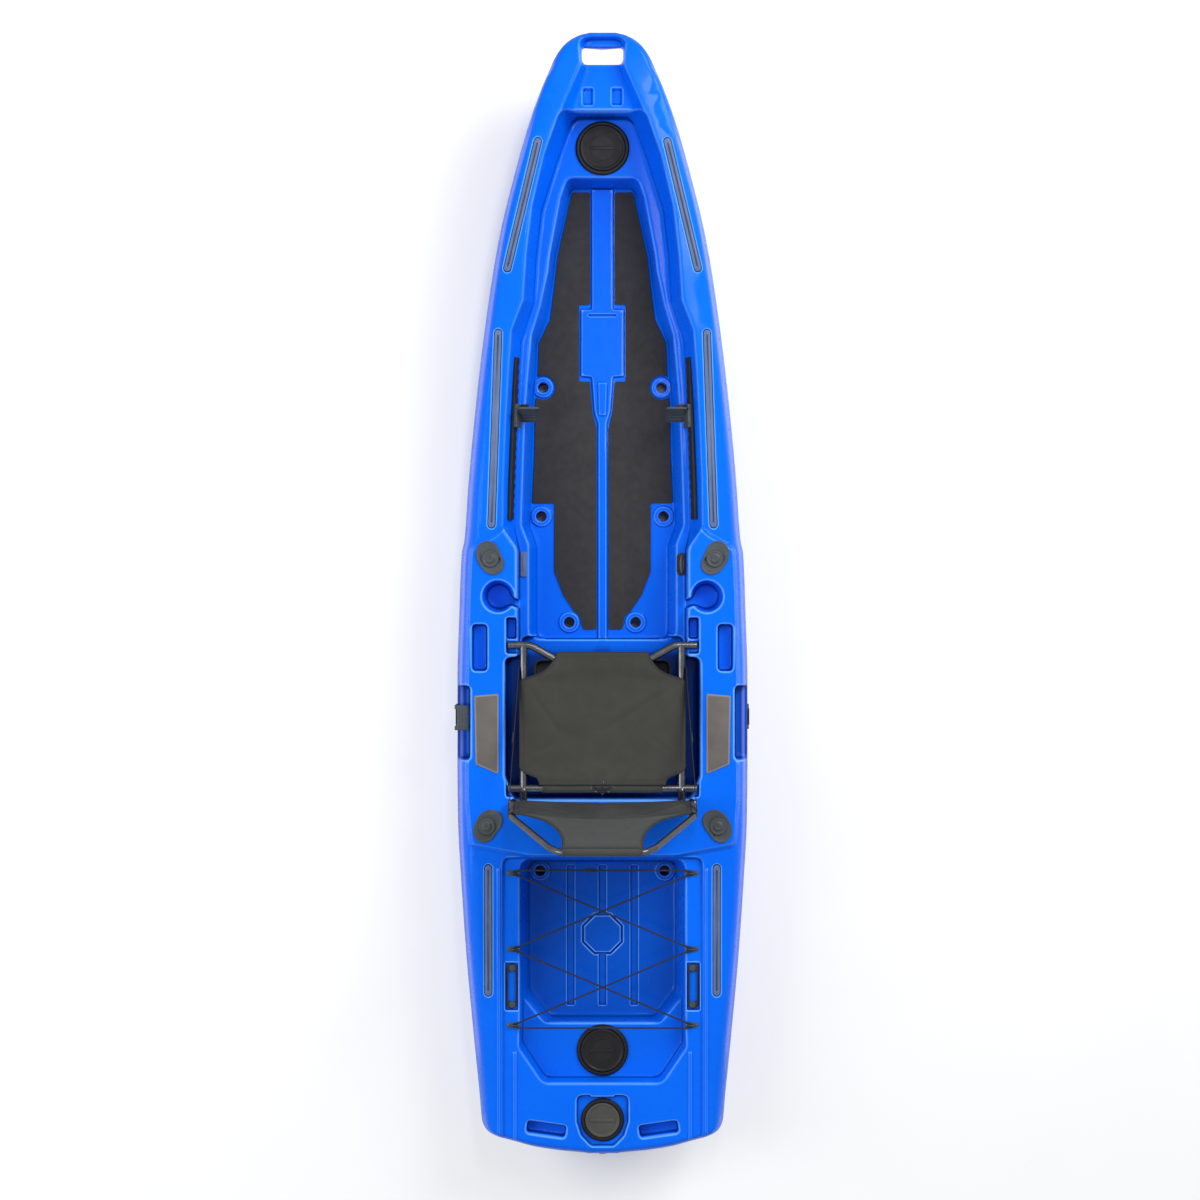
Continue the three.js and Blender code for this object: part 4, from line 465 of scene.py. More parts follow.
def bores():
    """The openings under the hatches and the rod holders."""
    return [*[Pocket(disc(radius - BORE_INSET, 0, at * HL), BORE_FLOOR, draft=2.0, top=1.5, foot=10.0)
              for radius, at, _ in HATCHES.values()],
            *[Pocket(disc(25, x * HB, y * HL), 98, draft=1.0, top=1.5, foot=4.0)
              for x, y, _ in ROD_HOLDERS.values()]]


def hull_features():
    """What is raised and hollowed out of the deck, each form after those that it is cut into."""
    tracks = [track_recess(run) for run in TRACKS.values()]
    hold = Brim(box_outline(134, 56, 14, 0, HAND_HOLD * HL), 8.0)
    return [*main_forms(), *tracks, *recesses(), *scupper_forms(), *tank_forms(), *bores(), hold]


def end_share(y):
    """How far a place lies in the zone where the outline closes at the bow or the stern."""
    t = np.clip(1 - (HL - np.abs(y) - END_ZONE) / END_FADE, 0, 1)
    return t * t * (3 - 2 * t)


def edge_distance(x, y):
    """How far a place lies inside the hull's outline, seen from above."""
    slope = (half_beam(y + 1) - half_beam(y - 1)) / 2
    out = (half_beam(y) - np.abs(x)) / np.sqrt(1 + slope ** 2)
    near = np.nonzero(HL - np.abs(y) < END_NEAR)[0]
    if len(near):
        stern = np.linspace(-HL, -HL + END_OUTLINE, 110)
        ys = np.concatenate([stern, np.linspace(HL - END_OUTLINE, HL, 110)])
        side = np.stack([half_beam(ys), ys], 1)
        outline = np.concatenate([side, side[::-1] * (-1, 1)])
        out[near] = np.maximum(signed(outline, x[near], y[near], 1e4), 0.0)
    return out


def shell(x, y, middle, end):
    wide = np.maximum(smooth(SIDE_RUN, y / HL) * HB, half_beam(y))
    share = np.clip(np.abs(x) / wide, 0, 1)
    full = smooth(FULLNESS, y / HL)
    v = full * smooth(middle, share) + (1 - full) * smooth(end, share)
    keel = keel_height(y)
    return keel + v * (deck_height(y) - keel)


def rounded_end(x, y, z):
    """Brings the skin round to its rim where the outline closes at the bow and the stern."""
    weight = end_share(y)
    if not (weight > 0).any():
        return z
    rim = shell(np.full(x.shape, HB), y, TOP_MIDDLE, TOP_END)
    back = weight * (1 - np.clip(edge_distance(x, y) / NOSE_ROUND, 0, 1))
    return rim + (z - rim) * np.sqrt(np.maximum(1 - back ** 2, 0))


def top_height(x, y, features):
    z = shell(x, y, TOP_MIDDLE, TOP_END)
    for feature in features:
        z = feature.apply(x, y, z)
    return rounded_end(x, y, z)


def bottom_height(x, y, features):
    z = shell(x, y, BOTTOM_MIDDLE, BOTTOM_END)
    for feature in features:
        z = z + (z - feature.apply(x, y, z))
    return rounded_end(x, y, z)


def resampled(points, spacing, closed=True):
    points = np.asarray(points, float)
    ends = np.roll(points, -1, axis=0) if closed else points[1:]
    starts = points if closed else points[:-1]
    out = []
    for a, b in zip(starts, ends):
        count = max(1, int(math.ceil(np.linalg.norm(b - a) / spacing)))
        out += [a + (b - a) * i / count for i in range(count)]
    if not closed:
        out.append(points[-1])
    return np.array(out)


def offset_loop(outline, distance, spacing):
    """The outline moved inward by a distance, and which of its points didn't fold over another side."""
    points = resampled(outline, spacing)
    points = points[np.linalg.norm(points - np.roll(points, 1, axis=0), axis=1) > 0.05]
    after = np.roll(points, -1, axis=0) - points
    before = points - np.roll(points, 1, axis=0)
    after /= np.linalg.norm(after, axis=1)[:, None]
    before /= np.linalg.norm(before, axis=1)[:, None]
    along = after + before
    area = np.sum(points[:, 0] * np.roll(points[:, 1], -1) - np.roll(points[:, 0], -1) * points[:, 1])
    normal = np.stack([-along[:, 1], along[:, 0]], 1) * np.sign(area)
    scale = 2.0 / np.maximum(np.sum(along * along, axis=1), 0.5)
    moved = points + normal * (distance * scale)[:, None]
    found = signed(outline, moved[:, 0], moved[:, 1], abs(distance) + 5)
    good = np.abs(found - distance) < 0.12 * abs(distance) + 0.05
    return moved, good


def hull_boundary(spacing=11.0):
    """The starboard outline from stern to bow, in even steps along the curve."""
    ys = np.linspace(-HL, HL, 6001)
    xs = half_beam(ys)
    run = np.concatenate([[0], np.cumsum(np.hypot(np.diff(xs), np.diff(ys)))])
    steps = np.linspace(0, run[-1], int(run[-1] / spacing))
    return np.stack([np.interp(steps, run, xs), np.interp(steps, run, ys)], 1)


def clear_of(holes, points):
    """Which points lie at least 3 mm outside every hole."""
    clear = np.full(len(points), True)
    for hole in holes:
        clear &= signed(hole, points[:, 0], points[:, 1], 20.0) < -3.0
    return clear


# Rows that follow the outline inward at the ends, where the skin comes round to its rim
END_BACKS = (0.5, 1.4, 2.8, 4.8, 7.5, 11, 15, 19.5, 24, 31)


def plan_mesh(height, features, side, shares, holes, spacing=9.6, grid=40.0):
    """Triangles over the starboard half of the plan, with rows of points along each moulded edge."""
    verts, edges = [], []

    def add_line(points, good=None, closed=False):
        """A row of points joined by edges, without those that aren't good."""
        good = np.full(len(points), True) if good is None else good
        index = {old: len(verts) + new for new, old in enumerate(np.nonzero(good)[0].tolist())}
        verts.extend(Vector(points[i]) for i in index)
        for i in index:
            j = (i + 1) % len(points)
            if j in index and (closed or j):
                edges.append((index[i], index[j]))

    cap_stern = np.stack([np.linspace(0, side[0, 0], 6)[:-1], np.full(5, -HL)], 1)
    cap_bow = np.stack([np.linspace(side[-1, 0], 0, 6)[1:], np.full(5, HL)], 1)
    outline = np.concatenate([cap_stern, side, cap_bow])
    middle = np.stack([np.zeros(60), np.linspace(HL, -HL, 62)[1:-1]], 1)
    domain = np.concatenate([outline, middle])
    add_line(domain, closed=True)
    for share in shares:
        row = side[np.abs(side[:, 1]) < HL - END_ROWS] * (share, 1)
        add_line(row, clear_of(holes, row))
    rows = [(*row, isinstance(feature, Brim)) for feature in features for row in feature.lines()]
    around = np.concatenate([side, side[::-1] * (-1, 1)])
    for back in END_BACKS:
        moved, good = offset_loop(around, back, 8.0)
        good &= (np.abs(moved[:, 1]) > HL - END_ROWS) & (moved[:, 0] > 4)
        add_line(moved, good & clear_of(holes, moved), closed=True)
        for end in (-1, 1):
            add_line(np.array([(0.0, end * (HL - back)), (6.0, end * (HL - back))]))
    for line, distance, is_brim in rows:
        run = np.linalg.norm(line - np.roll(line, 1, axis=0), axis=1).sum()
        moved, good = offset_loop(line, distance, min(spacing, max(4.6, run / 60)))
        good &= clear_of([] if is_brim else holes, moved)
        inside = (np.abs(moved[:, 0]) < half_beam(moved[:, 1]) - 1.6) & (np.abs(moved[:, 1]) < HL - 1.5)
        add_line(moved, good & inside & (moved[:, 0] > -2.5 * spacing), closed=True)
    gx, gy = np.meshgrid(np.arange(grid / 2, HB, grid), np.arange(-HL + grid / 3, HL, grid))
    gx[1::2] += grid / 2
    gx, gy = gx.ravel(), gy.ravel()
    keep = gx < half_beam(gy) * 0.985 - 4
    lines = KDTree(len(verts))
    for i, v in enumerate(verts):
        lines.insert((v[0], v[1], 0), i)
    lines.balance()
    keep &= np.array([lines.find((a, b, 0))[2] > 7.0 for a, b in zip(gx, gy)])
    verts.extend(Vector(p) for p in zip(gx[keep], gy[keep]))
    result = delaunay_2d_cdt(verts, edges, [], 0, 0.02, False)
    flat = np.array([tuple(v) for v in result[0]])
    faces = np.array([f for f in result[2] if len(f) == 3])
    centre = flat[faces].mean(1)
    inside = signed(domain, centre[:, 0], centre[:, 1], 1e4) > 0
    for hole in holes:
        inside &= signed(hole, centre[:, 0], centre[:, 1], 5.0) <= 0
    faces = faces[inside]
    flat[np.abs(flat[:, 0]) < 0.02, 0] = 0.0
    z = height(flat[:, 0], flat[:, 1], features)
    return np.column_stack([flat, z]), faces


def joined_hull(top, top_faces, bottom, bottom_faces):
    """Top and bottom in one closed skin: walls between their edges, then the port half mirrored."""

    def rim_edges(faces, flat):
        edges = np.sort(np.concatenate([faces[:, [0, 1]], faces[:, [1, 2]], faces[:, [2, 0]]]), axis=1)
        unique, count = np.unique(edges, axis=0, return_counts=True)
        rim = unique[count == 1]
        on_middle = (flat[rim[:, 0], 0] == 0) & (flat[rim[:, 1], 0] == 0)
        return rim[~on_middle]

    rim = rim_edges(bottom_faces, bottom)
    tree = KDTree(len(rim) * 2)
    for i in set(rim.ravel().tolist()):
        tree.insert((bottom[i, 0], bottom[i, 1], 0), i)
    tree.balance()
    faces = [tuple(f) for f in top_faces] + [tuple(f[::-1] + len(top)) for f in bottom_faces]
    for a, b in rim_edges(top_faces, top):
        _, c, far_c = tree.find((top[b, 0], top[b, 1], 0))
        _, d, far_d = tree.find((top[a, 0], top[a, 1], 0))
        if max(far_c, far_d) > 0.5:
            raise ValueError("the hull's top and bottom edges don't match")
        faces.append((a, b, c + len(top), d + len(top)))
    verts = np.concatenate([top, bottom])
    other = verts * (-1, 1, 1)
    faces += [tuple(i + len(verts) for i in reversed(f)) for f in faces]
    return np.concatenate([verts, other]), faces


def make_hull():
    features = hull_features()
    brims = [f for f in features if isinstance(f, Brim)]
    holes = [brim.rim for brim in brims]
    side = hull_boundary()
    top_shares = (0.906, 0.93, 0.955, 0.972, 0.985, 0.993, 0.998)
    low_shares = (0.1, 0.25, 0.42, 0.56, 0.68, 0.75, 0.82, 0.87, 0.92, 0.95, 0.975, 0.988, 0.996)
    top, top_faces = plan_mesh(top_height, features, side, top_shares, holes)
    low, low_faces = plan_mesh(bottom_height, brims, side, low_shares, holes, spacing=11.0, grid=46.0)
    verts, faces = joined_hull(top, top_faces, low, low_faces)
    mesh = bpy.data.meshes.new("hull_skin")
    mesh.from_pydata((verts * MM).tolist(), [], faces)
    work = bmesh.new()
    work.from_mesh(mesh)
    bmesh.ops.remove_doubles(work, verts=work.verts, dist=0.02 * MM)
    bmesh.ops.dissolve_degenerate(work, edges=work.edges, dist=0.005 * MM)
    bmesh.ops.recalc_face_normals(work, faces=work.faces)
    work.to_mesh(mesh)
    work.free()
    hull = bpy.data.objects.new("hull_skin", mesh)
    bpy.context.scene.collection.objects.link(hull)
    return hull


class Finish:
    """A node material built up from its surface in the piece's own coordinates, in real sizes."""

    def __init__(self, name, color, roughness, metallic=0.0, specular=0.5):
        self.material = bpy.data.materials.new(name)
        self.material.use_nodes = True
        self.tree = self.material.node_tree
        self.shader = self.tree.nodes["Principled BSDF"]
        self.shader.inputs["Roughness"].default_value = roughness
        self.shader.inputs["Metallic"].default_value = metallic
        self.shader.inputs["Specular IOR Level"].default_value = specular
        self.place = self.add("ShaderNodeTexCoord").outputs["Object"]
        self.color = self.rgb(color)
        self.bump = None

    def add(self, kind, **settings):
        node = self.tree.nodes.new(kind)
        for key, value in settings.items():
            setattr(node, key, value)
        return node

    def link(self, source, target):
        self.tree.links.new(source, target)

    def rgb(self, color):
        node = self.add("ShaderNodeRGB")
        node.outputs[0].default_value = (*linear(color), 1.0)
        return node.outputs[0]

    def texture(self, kind, stretch=(1, 1, 1), **settings):
        """A texture node that reads the place on the piece, stretched."""
        mapping = self.add("ShaderNodeMapping")
        mapping.inputs["Scale"].default_value = stretch
        self.link(self.place, mapping.inputs["Vector"])
        node = self.add(kind, **settings)
        self.link(mapping.outputs[0], node.inputs["Vector"])
        return node

    def noise(self, size, detail=3.0, rough=0.5, stretch=(1, 1, 1)):
        node = self.texture("ShaderNodeTexNoise", stretch)
        node.inputs["Scale"].default_value = 1.0 / (size * MM)
        node.inputs["Detail"].default_value = detail
        node.inputs["Roughness"].default_value = rough
        return node.outputs["Fac"]

    def wave(self, size, axis="X"):
        node = self.texture("ShaderNodeTexWave", bands_direction=axis, wave_profile="SIN")
        # A wave of scale 1 repeats every 2 pi / 20 of a unit
        node.inputs["Scale"].default_value = math.pi / 10 / (size * MM)
        node.inputs["Distortion"].default_value = 0.0
        return node.outputs["Fac"]

    def ramp(self, source, low, high, out_low=0.0, out_high=1.0):
        node = self.add("ShaderNodeMapRange", interpolation_type="SMOOTHSTEP")
        node.inputs["From Min"].default_value = low
        node.inputs["From Max"].default_value = high
        node.inputs["To Min"].default_value = out_low
        node.inputs["To Max"].default_value = out_high
        self.link(source, node.inputs["Value"])
        return node.outputs["Result"]

    def maths(self, kind, a, b):
        node = self.add("ShaderNodeMath", operation=kind)
        for socket, value in zip(node.inputs, (a, b)):
            if isinstance(value, (int, float)):
                socket.default_value = value
            else:
                self.link(value, socket)
        return node.outputs[0]

    def attribute(self, name):
        return self.add("ShaderNodeAttribute", attribute_name=name).outputs["Fac"]

    def tint(self, share, color):
        """Mixes another colour in where share is high."""
        node = self.add("ShaderNodeMix", data_type="RGBA")
        self.link(share, node.inputs["Factor"])
        self.link(self.color, node.inputs[6])
        node.inputs[7].default_value = (*linear(color), 1.0)
        self.color = node.outputs[2]

    def relief(self, height, depth):
        """Adds a bump whose full height is the depth in millimetres."""
        node = self.add("ShaderNodeBump")
        node.inputs["Distance"].default_value = depth * MM
        node.inputs["Strength"].default_value = 1.0
        self.link(height, node.inputs["Height"])
        if self.bump is not None:
            self.link(self.bump, node.inputs["Normal"])
        self.bump = node.outputs["Normal"]

    def roughness(self, source, low, high):
        self.link(self.ramp(source, 0.25, 0.75, low, high), self.shader.inputs["Roughness"])

    def done(self):
        self.link(self.color, self.shader.inputs["Base Color"])
        if self.bump is not None:
            self.link(self.bump, self.shader.inputs["Normal"])
        return self.material


def linear(color):
    """A colour as 0 to 255 shares of the screen's red, green and blue, as light."""
    out = []
    for part in color:
        c = part / 255
        out.append(c / 12.92 if c <= 0.04045 else ((c + 0.055) / 1.055) ** 2.4)
    return out


def hull_plastic():
    """Rotomoulded polyethylene, finely scuffed, with painted highlights on convex edges, painted shade in
    corners, in hollows and along the outline, and a painted lilac sheen.
    """
    f = Finish("hull_plastic", (0, 98, 228), 0.3, specular=0.2)
    f.shader.inputs["Specular Tint"].default_value = (*linear((90, 170, 255)), 1)
    f.shader.inputs["Coat Weight"].default_value = 0.1
    f.shader.inputs["Coat Roughness"].default_value = 0.08
    f.tint(f.ramp(f.noise(320, 2.0), 0.3, 0.75, 0.0, 0.25), (2, 110, 250))
    # Painted shade in the hollows: deeper is darker, mostly aft
    f.tint(f.ramp(f.attribute("well"), 0.0, 1.0, 0.0, 0.9), (0, 26, 92))
    # Painted lilac sheen: a reflection painted just inside the outline
    f.tint(f.ramp(f.attribute("painted_sheen"), 0.2, 0.9, 0.0, 0.55), (140, 150, 238))
    # Painted shade along the outline, where the skin turns down
    f.tint(f.ramp(f.attribute("painted_outline_shade"), 0.0, 1.0, 0.0, 0.8), (4, 30, 96))
    # Painted highlight on convex edges, then painted shade in concave corners
    f.tint(f.ramp(f.attribute("edge"), 0.515, 0.64, 0.0, 0.75), (104, 172, 255))
    f.tint(f.ramp(f.attribute("edge"), 0.485, 0.36, 0.0, 0.8), (1, 20, 84))
    scuffs = f.maths("MULTIPLY", f.ramp(f.noise(2.2, 5.0, 0.7, stretch=(1, 0.06, 1)), 0.62, 0.72),
                     f.ramp(f.noise(90, 3.0), 0.5, 0.68))
    f.tint(f.maths("MULTIPLY", scuffs, 0.3), (70, 146, 250))
    f.relief(f.noise(9, 2.0), 0.06)
    f.relief(f.noise(0.9, 2.0), 0.012)
    f.roughness(f.noise(30, 4.0), 0.25, 0.37)
    return f.done()


def grained(name, color, roughness, grain=0.9, depth=0.05, lighter=1.18, specular=0.22):
    """Moulded plastic or foam with a fine grain, a little lighter in places and on its grain, with a painted
    highlight where its edges are marked.
    """
    f = Finish(name, color, roughness, specular=specular)
    worn = [min(255, int(c * lighter + 4)) for c in color]
    f.tint(f.ramp(f.noise(70, 4.0, 0.55), 0.35, 0.75, 0.0, 0.5), worn)
    fine = f.noise(grain, 2.0)
    f.tint(f.ramp(fine, 0.4, 0.8, 0.0, 0.3), worn)
    # Painted highlight where a piece marks its edges, as on the side pads' bevelled rims
    f.tint(f.ramp(f.attribute("edge"), 0.3, 0.9, 0.0, 0.6), [min(255, int(c * 1.35 + 14)) for c in color])
    f.relief(fine, depth)
    f.roughness(f.noise(24, 3.0), roughness - 0.08, roughness + 0.08)
    return f.done()


def metal(name, color, roughness):
    """Dark coated tube, fine lines drawn along it, rubbed brighter in places."""
    f = Finish(name, color, roughness, metallic=0.9)
    f.tint(f.ramp(f.noise(35, 4.0), 0.45, 0.8, 0.0, 0.35), [min(255, c + 34) for c in color])
    f.relief(f.noise(0.7, 3.0, stretch=(1, 0.15, 1)), 0.012)
    f.roughness(f.noise(16, 3.0), roughness - 0.06, roughness + 0.1)
    return f.done()


def woven(name, color, painted_shade_band=None, thread=1.15):
    """Coated polyester cloth: over and under threads both ways, with broad soft wear, and painted shade where
    it is marked.
    """
    f = Finish(name, color, 0.82, specular=0.2)
    over = f.wave(thread, "X")
    under = f.wave(thread, "Y")
    weave = f.maths("MULTIPLY", over, under)
    # Painted shade where the sling marks it, as on the back's steep lower part
    if painted_shade_band:
        f.tint(f.attribute("painted_shade_band"), painted_shade_band)
    light = [min(255, int(c * 1.3 + 8)) for c in color]
    f.tint(f.ramp(weave, 0.1, 0.8, 0.0, 0.55), light)
    f.tint(f.ramp(f.noise(130, 3.0, 0.5), 0.4, 0.75, 0.0, 0.4), [min(255, int(c * 1.14 + 3)) for c in color])
    f.tint(f.ramp(f.noise(0.9, 3.0, 0.6, stretch=(1, 0.12, 1)), 0.5, 0.8, 0.0, 0.25), light)
    f.relief(weave, 0.22)
    f.relief(f.noise(26, 3.0), 0.4)
    f.shader.inputs["Sheen Weight"].default_value = 0.06
    f.shader.inputs["Sheen Roughness"].default_value = 0.5
    f.roughness(f.noise(40, 3.0), 0.74, 0.9)
    return f.done()


def ribbed(name, color):
    """Webbing: tight ribs across, with a fine thread between them."""
    f = Finish(name, color, 0.8, specular=0.3)
    ribs = f.maths("ADD", f.wave(1.9, "Y"), f.maths("MULTIPLY", f.wave(1.1, "Z"), 0.5))
    f.tint(f.ramp(ribs, 0.4, 1.3, 0.0, 0.5), [int(c * 1.5 + 10) for c in color])
    f.relief(ribs, 0.2)
    f.roughness(f.noise(8, 3.0), 0.7, 0.88)
    return f.done()


def braided(name, color, fleck):
    """Elastic cord in a braided sheath: strands wind both ways along its run."""
    f = Finish(name, color, 0.7, specular=0.3)
    run = f.maths("MULTIPLY", f.attribute("run"), math.tau / 7.0)
    turn = f.maths("MULTIPLY", f.attribute("turn"), math.tau * 4)
    one = f.maths("SINE", f.maths("ADD", run, turn), 0.0)
    other = f.maths("SINE", f.maths("SUBTRACT", run, turn), 0.0)
    strands = f.maths("MULTIPLY", one, other)
    f.tint(f.ramp(strands, 0.1, 0.8, 0.0, 0.4), fleck)
    f.relief(strands, 0.3)
    f.relief(f.noise(0.7, 2.0), 0.06)
    f.roughness(f.noise(5, 2.0), 0.6, 0.8)
    return f.done()


# Each finish: how it is made, its colour and what else that takes
FINISH_ROWS = {
    "hatch_black": (grained, (15, 15, 17), 0.5, 0.7, 0.03),
    "hatch_grey": (grained, (64, 65, 61), 0.55, 0.7, 0.03),
    "seal_rubber": (grained, (20, 20, 21), 0.8, 0.6, 0.03),
    "track_grey": (grained, (82, 99, 132), 0.42, 0.5, 0.02),
    "foam_dark": (grained, (46, 45, 45), 0.88, 1.1, 0.16, 1.12, 0.25),
    "foam_light": (grained, (94, 90, 86), 0.88, 1.1, 0.16, 1.1, 0.25),
    "fitting_grey": (grained, (60, 66, 68), 0.5),
    "fitting_black": (grained, (30, 31, 33), 0.48),
    "shock_cord": (braided, (24, 30, 46), (58, 66, 84)),
    "seat_tube": (metal, (78, 79, 82), 0.24),
    "seat_fabric": (woven, (52, 53, 48)),
    # The back fabric's second colour is painted shade for its steep lower part
    "back_fabric": (woven, (56, 57, 54), (24, 24, 23)),
    "webbing": (ribbed, (28, 29, 30)),
}
FINISHES = {"hull_plastic": hull_plastic()}
FINISHES.update({name: make(name, *values) for name, (make, *values) in FINISH_ROWS.items()})
# What a node's name starts with, and the finish it then has
SLOT_STARTS = {
    "hull": "hull_plastic", "stern_hatch_lid": "hatch_grey", "gear_track": "track_grey",
    "ledge_plate": "track_grey", "rod_": "fitting_grey", "foot_pedal": "fitting_grey",
    "side_handle_anchor": "fitting_black", "side_handle": "fitting_grey", "pad_eye": "fitting_grey",
    "floor_pad": "foam_dark", "side_pad": "foam_light", "shock_cord": "shock_cord",
    "seat_base": "seat_tube", "seat_back": "seat_tube", "seat_sling": "seat_fabric",
    "back_sling": "back_fabric", "recline": "webbing"}


def slot_of(node):
    if node.endswith("_seal"):
        return "seal_rubber"
    for start, slot in SLOT_STARTS.items():
        if node.startswith(start):
            return slot
    return "hatch_black" if "hatch" in node else "fitting_black"


def finished(obj, slot):
    obj.data.materials.clear()
    obj.data.materials.append(FINISHES[slot])
    return obj


def stand_in(obj, nodes, body, slot):
    """The piece takes the place of CAD nodes and rides on their body."""
    finished(obj, slot)
    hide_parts(*nodes)
    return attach(obj, body)


def add_values(obj, name, values):
    layer = obj.data.attributes.new(name, "FLOAT", "POINT")
    layer.data.foreach_set("value", np.asarray(values, np.float32))


def mark_edges(obj, features, reach=3.5):
    """Stores how far each point of the skin stands out of (above half) or lies within its surroundings, and
    the masks of painted light and shade.
    """
    co = np.array([v.co for v in obj.data.vertices]) / MM
    x, y = np.abs(co[:, 0]), co[:, 1]
    z = top_height(x, y, features)
    on_top = np.abs(z - co[:, 2]) < 0.5
    steps = ((reach, 0), (-reach, 0), (0, reach), (0, -reach))
    near = [top_height(x + dx, y + dy, features) for dx, dy in steps]
    steep = np.hypot(near[0] - near[1], near[2] - near[3]) / (2 * reach)
    plain = top_height(x, y, []) - sum(top_height(x + dx, y + dy, []) for dx, dy in steps) / 4
    bend = (z - sum(near) / 4 - plain) / reach / (1 + steep)
    inward = edge_distance(x, y)
    bend = np.where(on_top & (inward > 9), np.clip(bend, -1, 1), 0.0) * np.clip((inward - 9) / 8, 0, 1)
    # Depth below the deck, mostly aft: the mask of painted shade in the hollows
    depth = np.where(on_top, deck_height(y) - z, 0.0)
    aft = 0.2 + np.clip((-y - 170) / 30, 0, 1) * (0.35 + 0.45 * np.clip((y + 800) / 60, 0, 1))
    add_values(obj, "well", np.clip((depth - 25) / 115, 0, 1) * aft)
    # How far each point stands out: the mask of painted edge highlights and painted corner shade
    add_values(obj, "edge", 0.5 + 0.5 * bend)
    # A narrow zone 15 mm inside the outline, fading near the ends: the mask of a painted lilac sheen
    painted_sheen = np.where(on_top, np.exp(-((inward - 15) / 6) ** 2), 0.0)
    add_values(obj, "painted_sheen", painted_sheen * np.clip((HL - 200 - np.abs(y)) / 160, 0, 1))
    # Within 6 mm of the outline, weaker underneath: the mask of painted shade along the outline
    add_values(obj, "painted_outline_shade", np.clip((6 - inward) / 5, 0, 1) * np.where(on_top, 1.0, 0.35))


def smooth_shaded(obj, angle=50.0):
    obj.data.shade_smooth()
    obj.data.set_sharp_from_angle(angle=math.radians(angle))
    return obj


def show_hull():
    hull = make_hull()
    mark_edges(hull, hull_features())
    smooth_shaded(hull)
    stand_in(hull, ["hull"], "hull_body", "hull_plastic")


def finish_cad_nodes():
    for name, node in NODES.items():
        if not node.hide_render:
            node.data.materials.clear()
            node.data.materials.append(FINISHES[slot_of(name)])


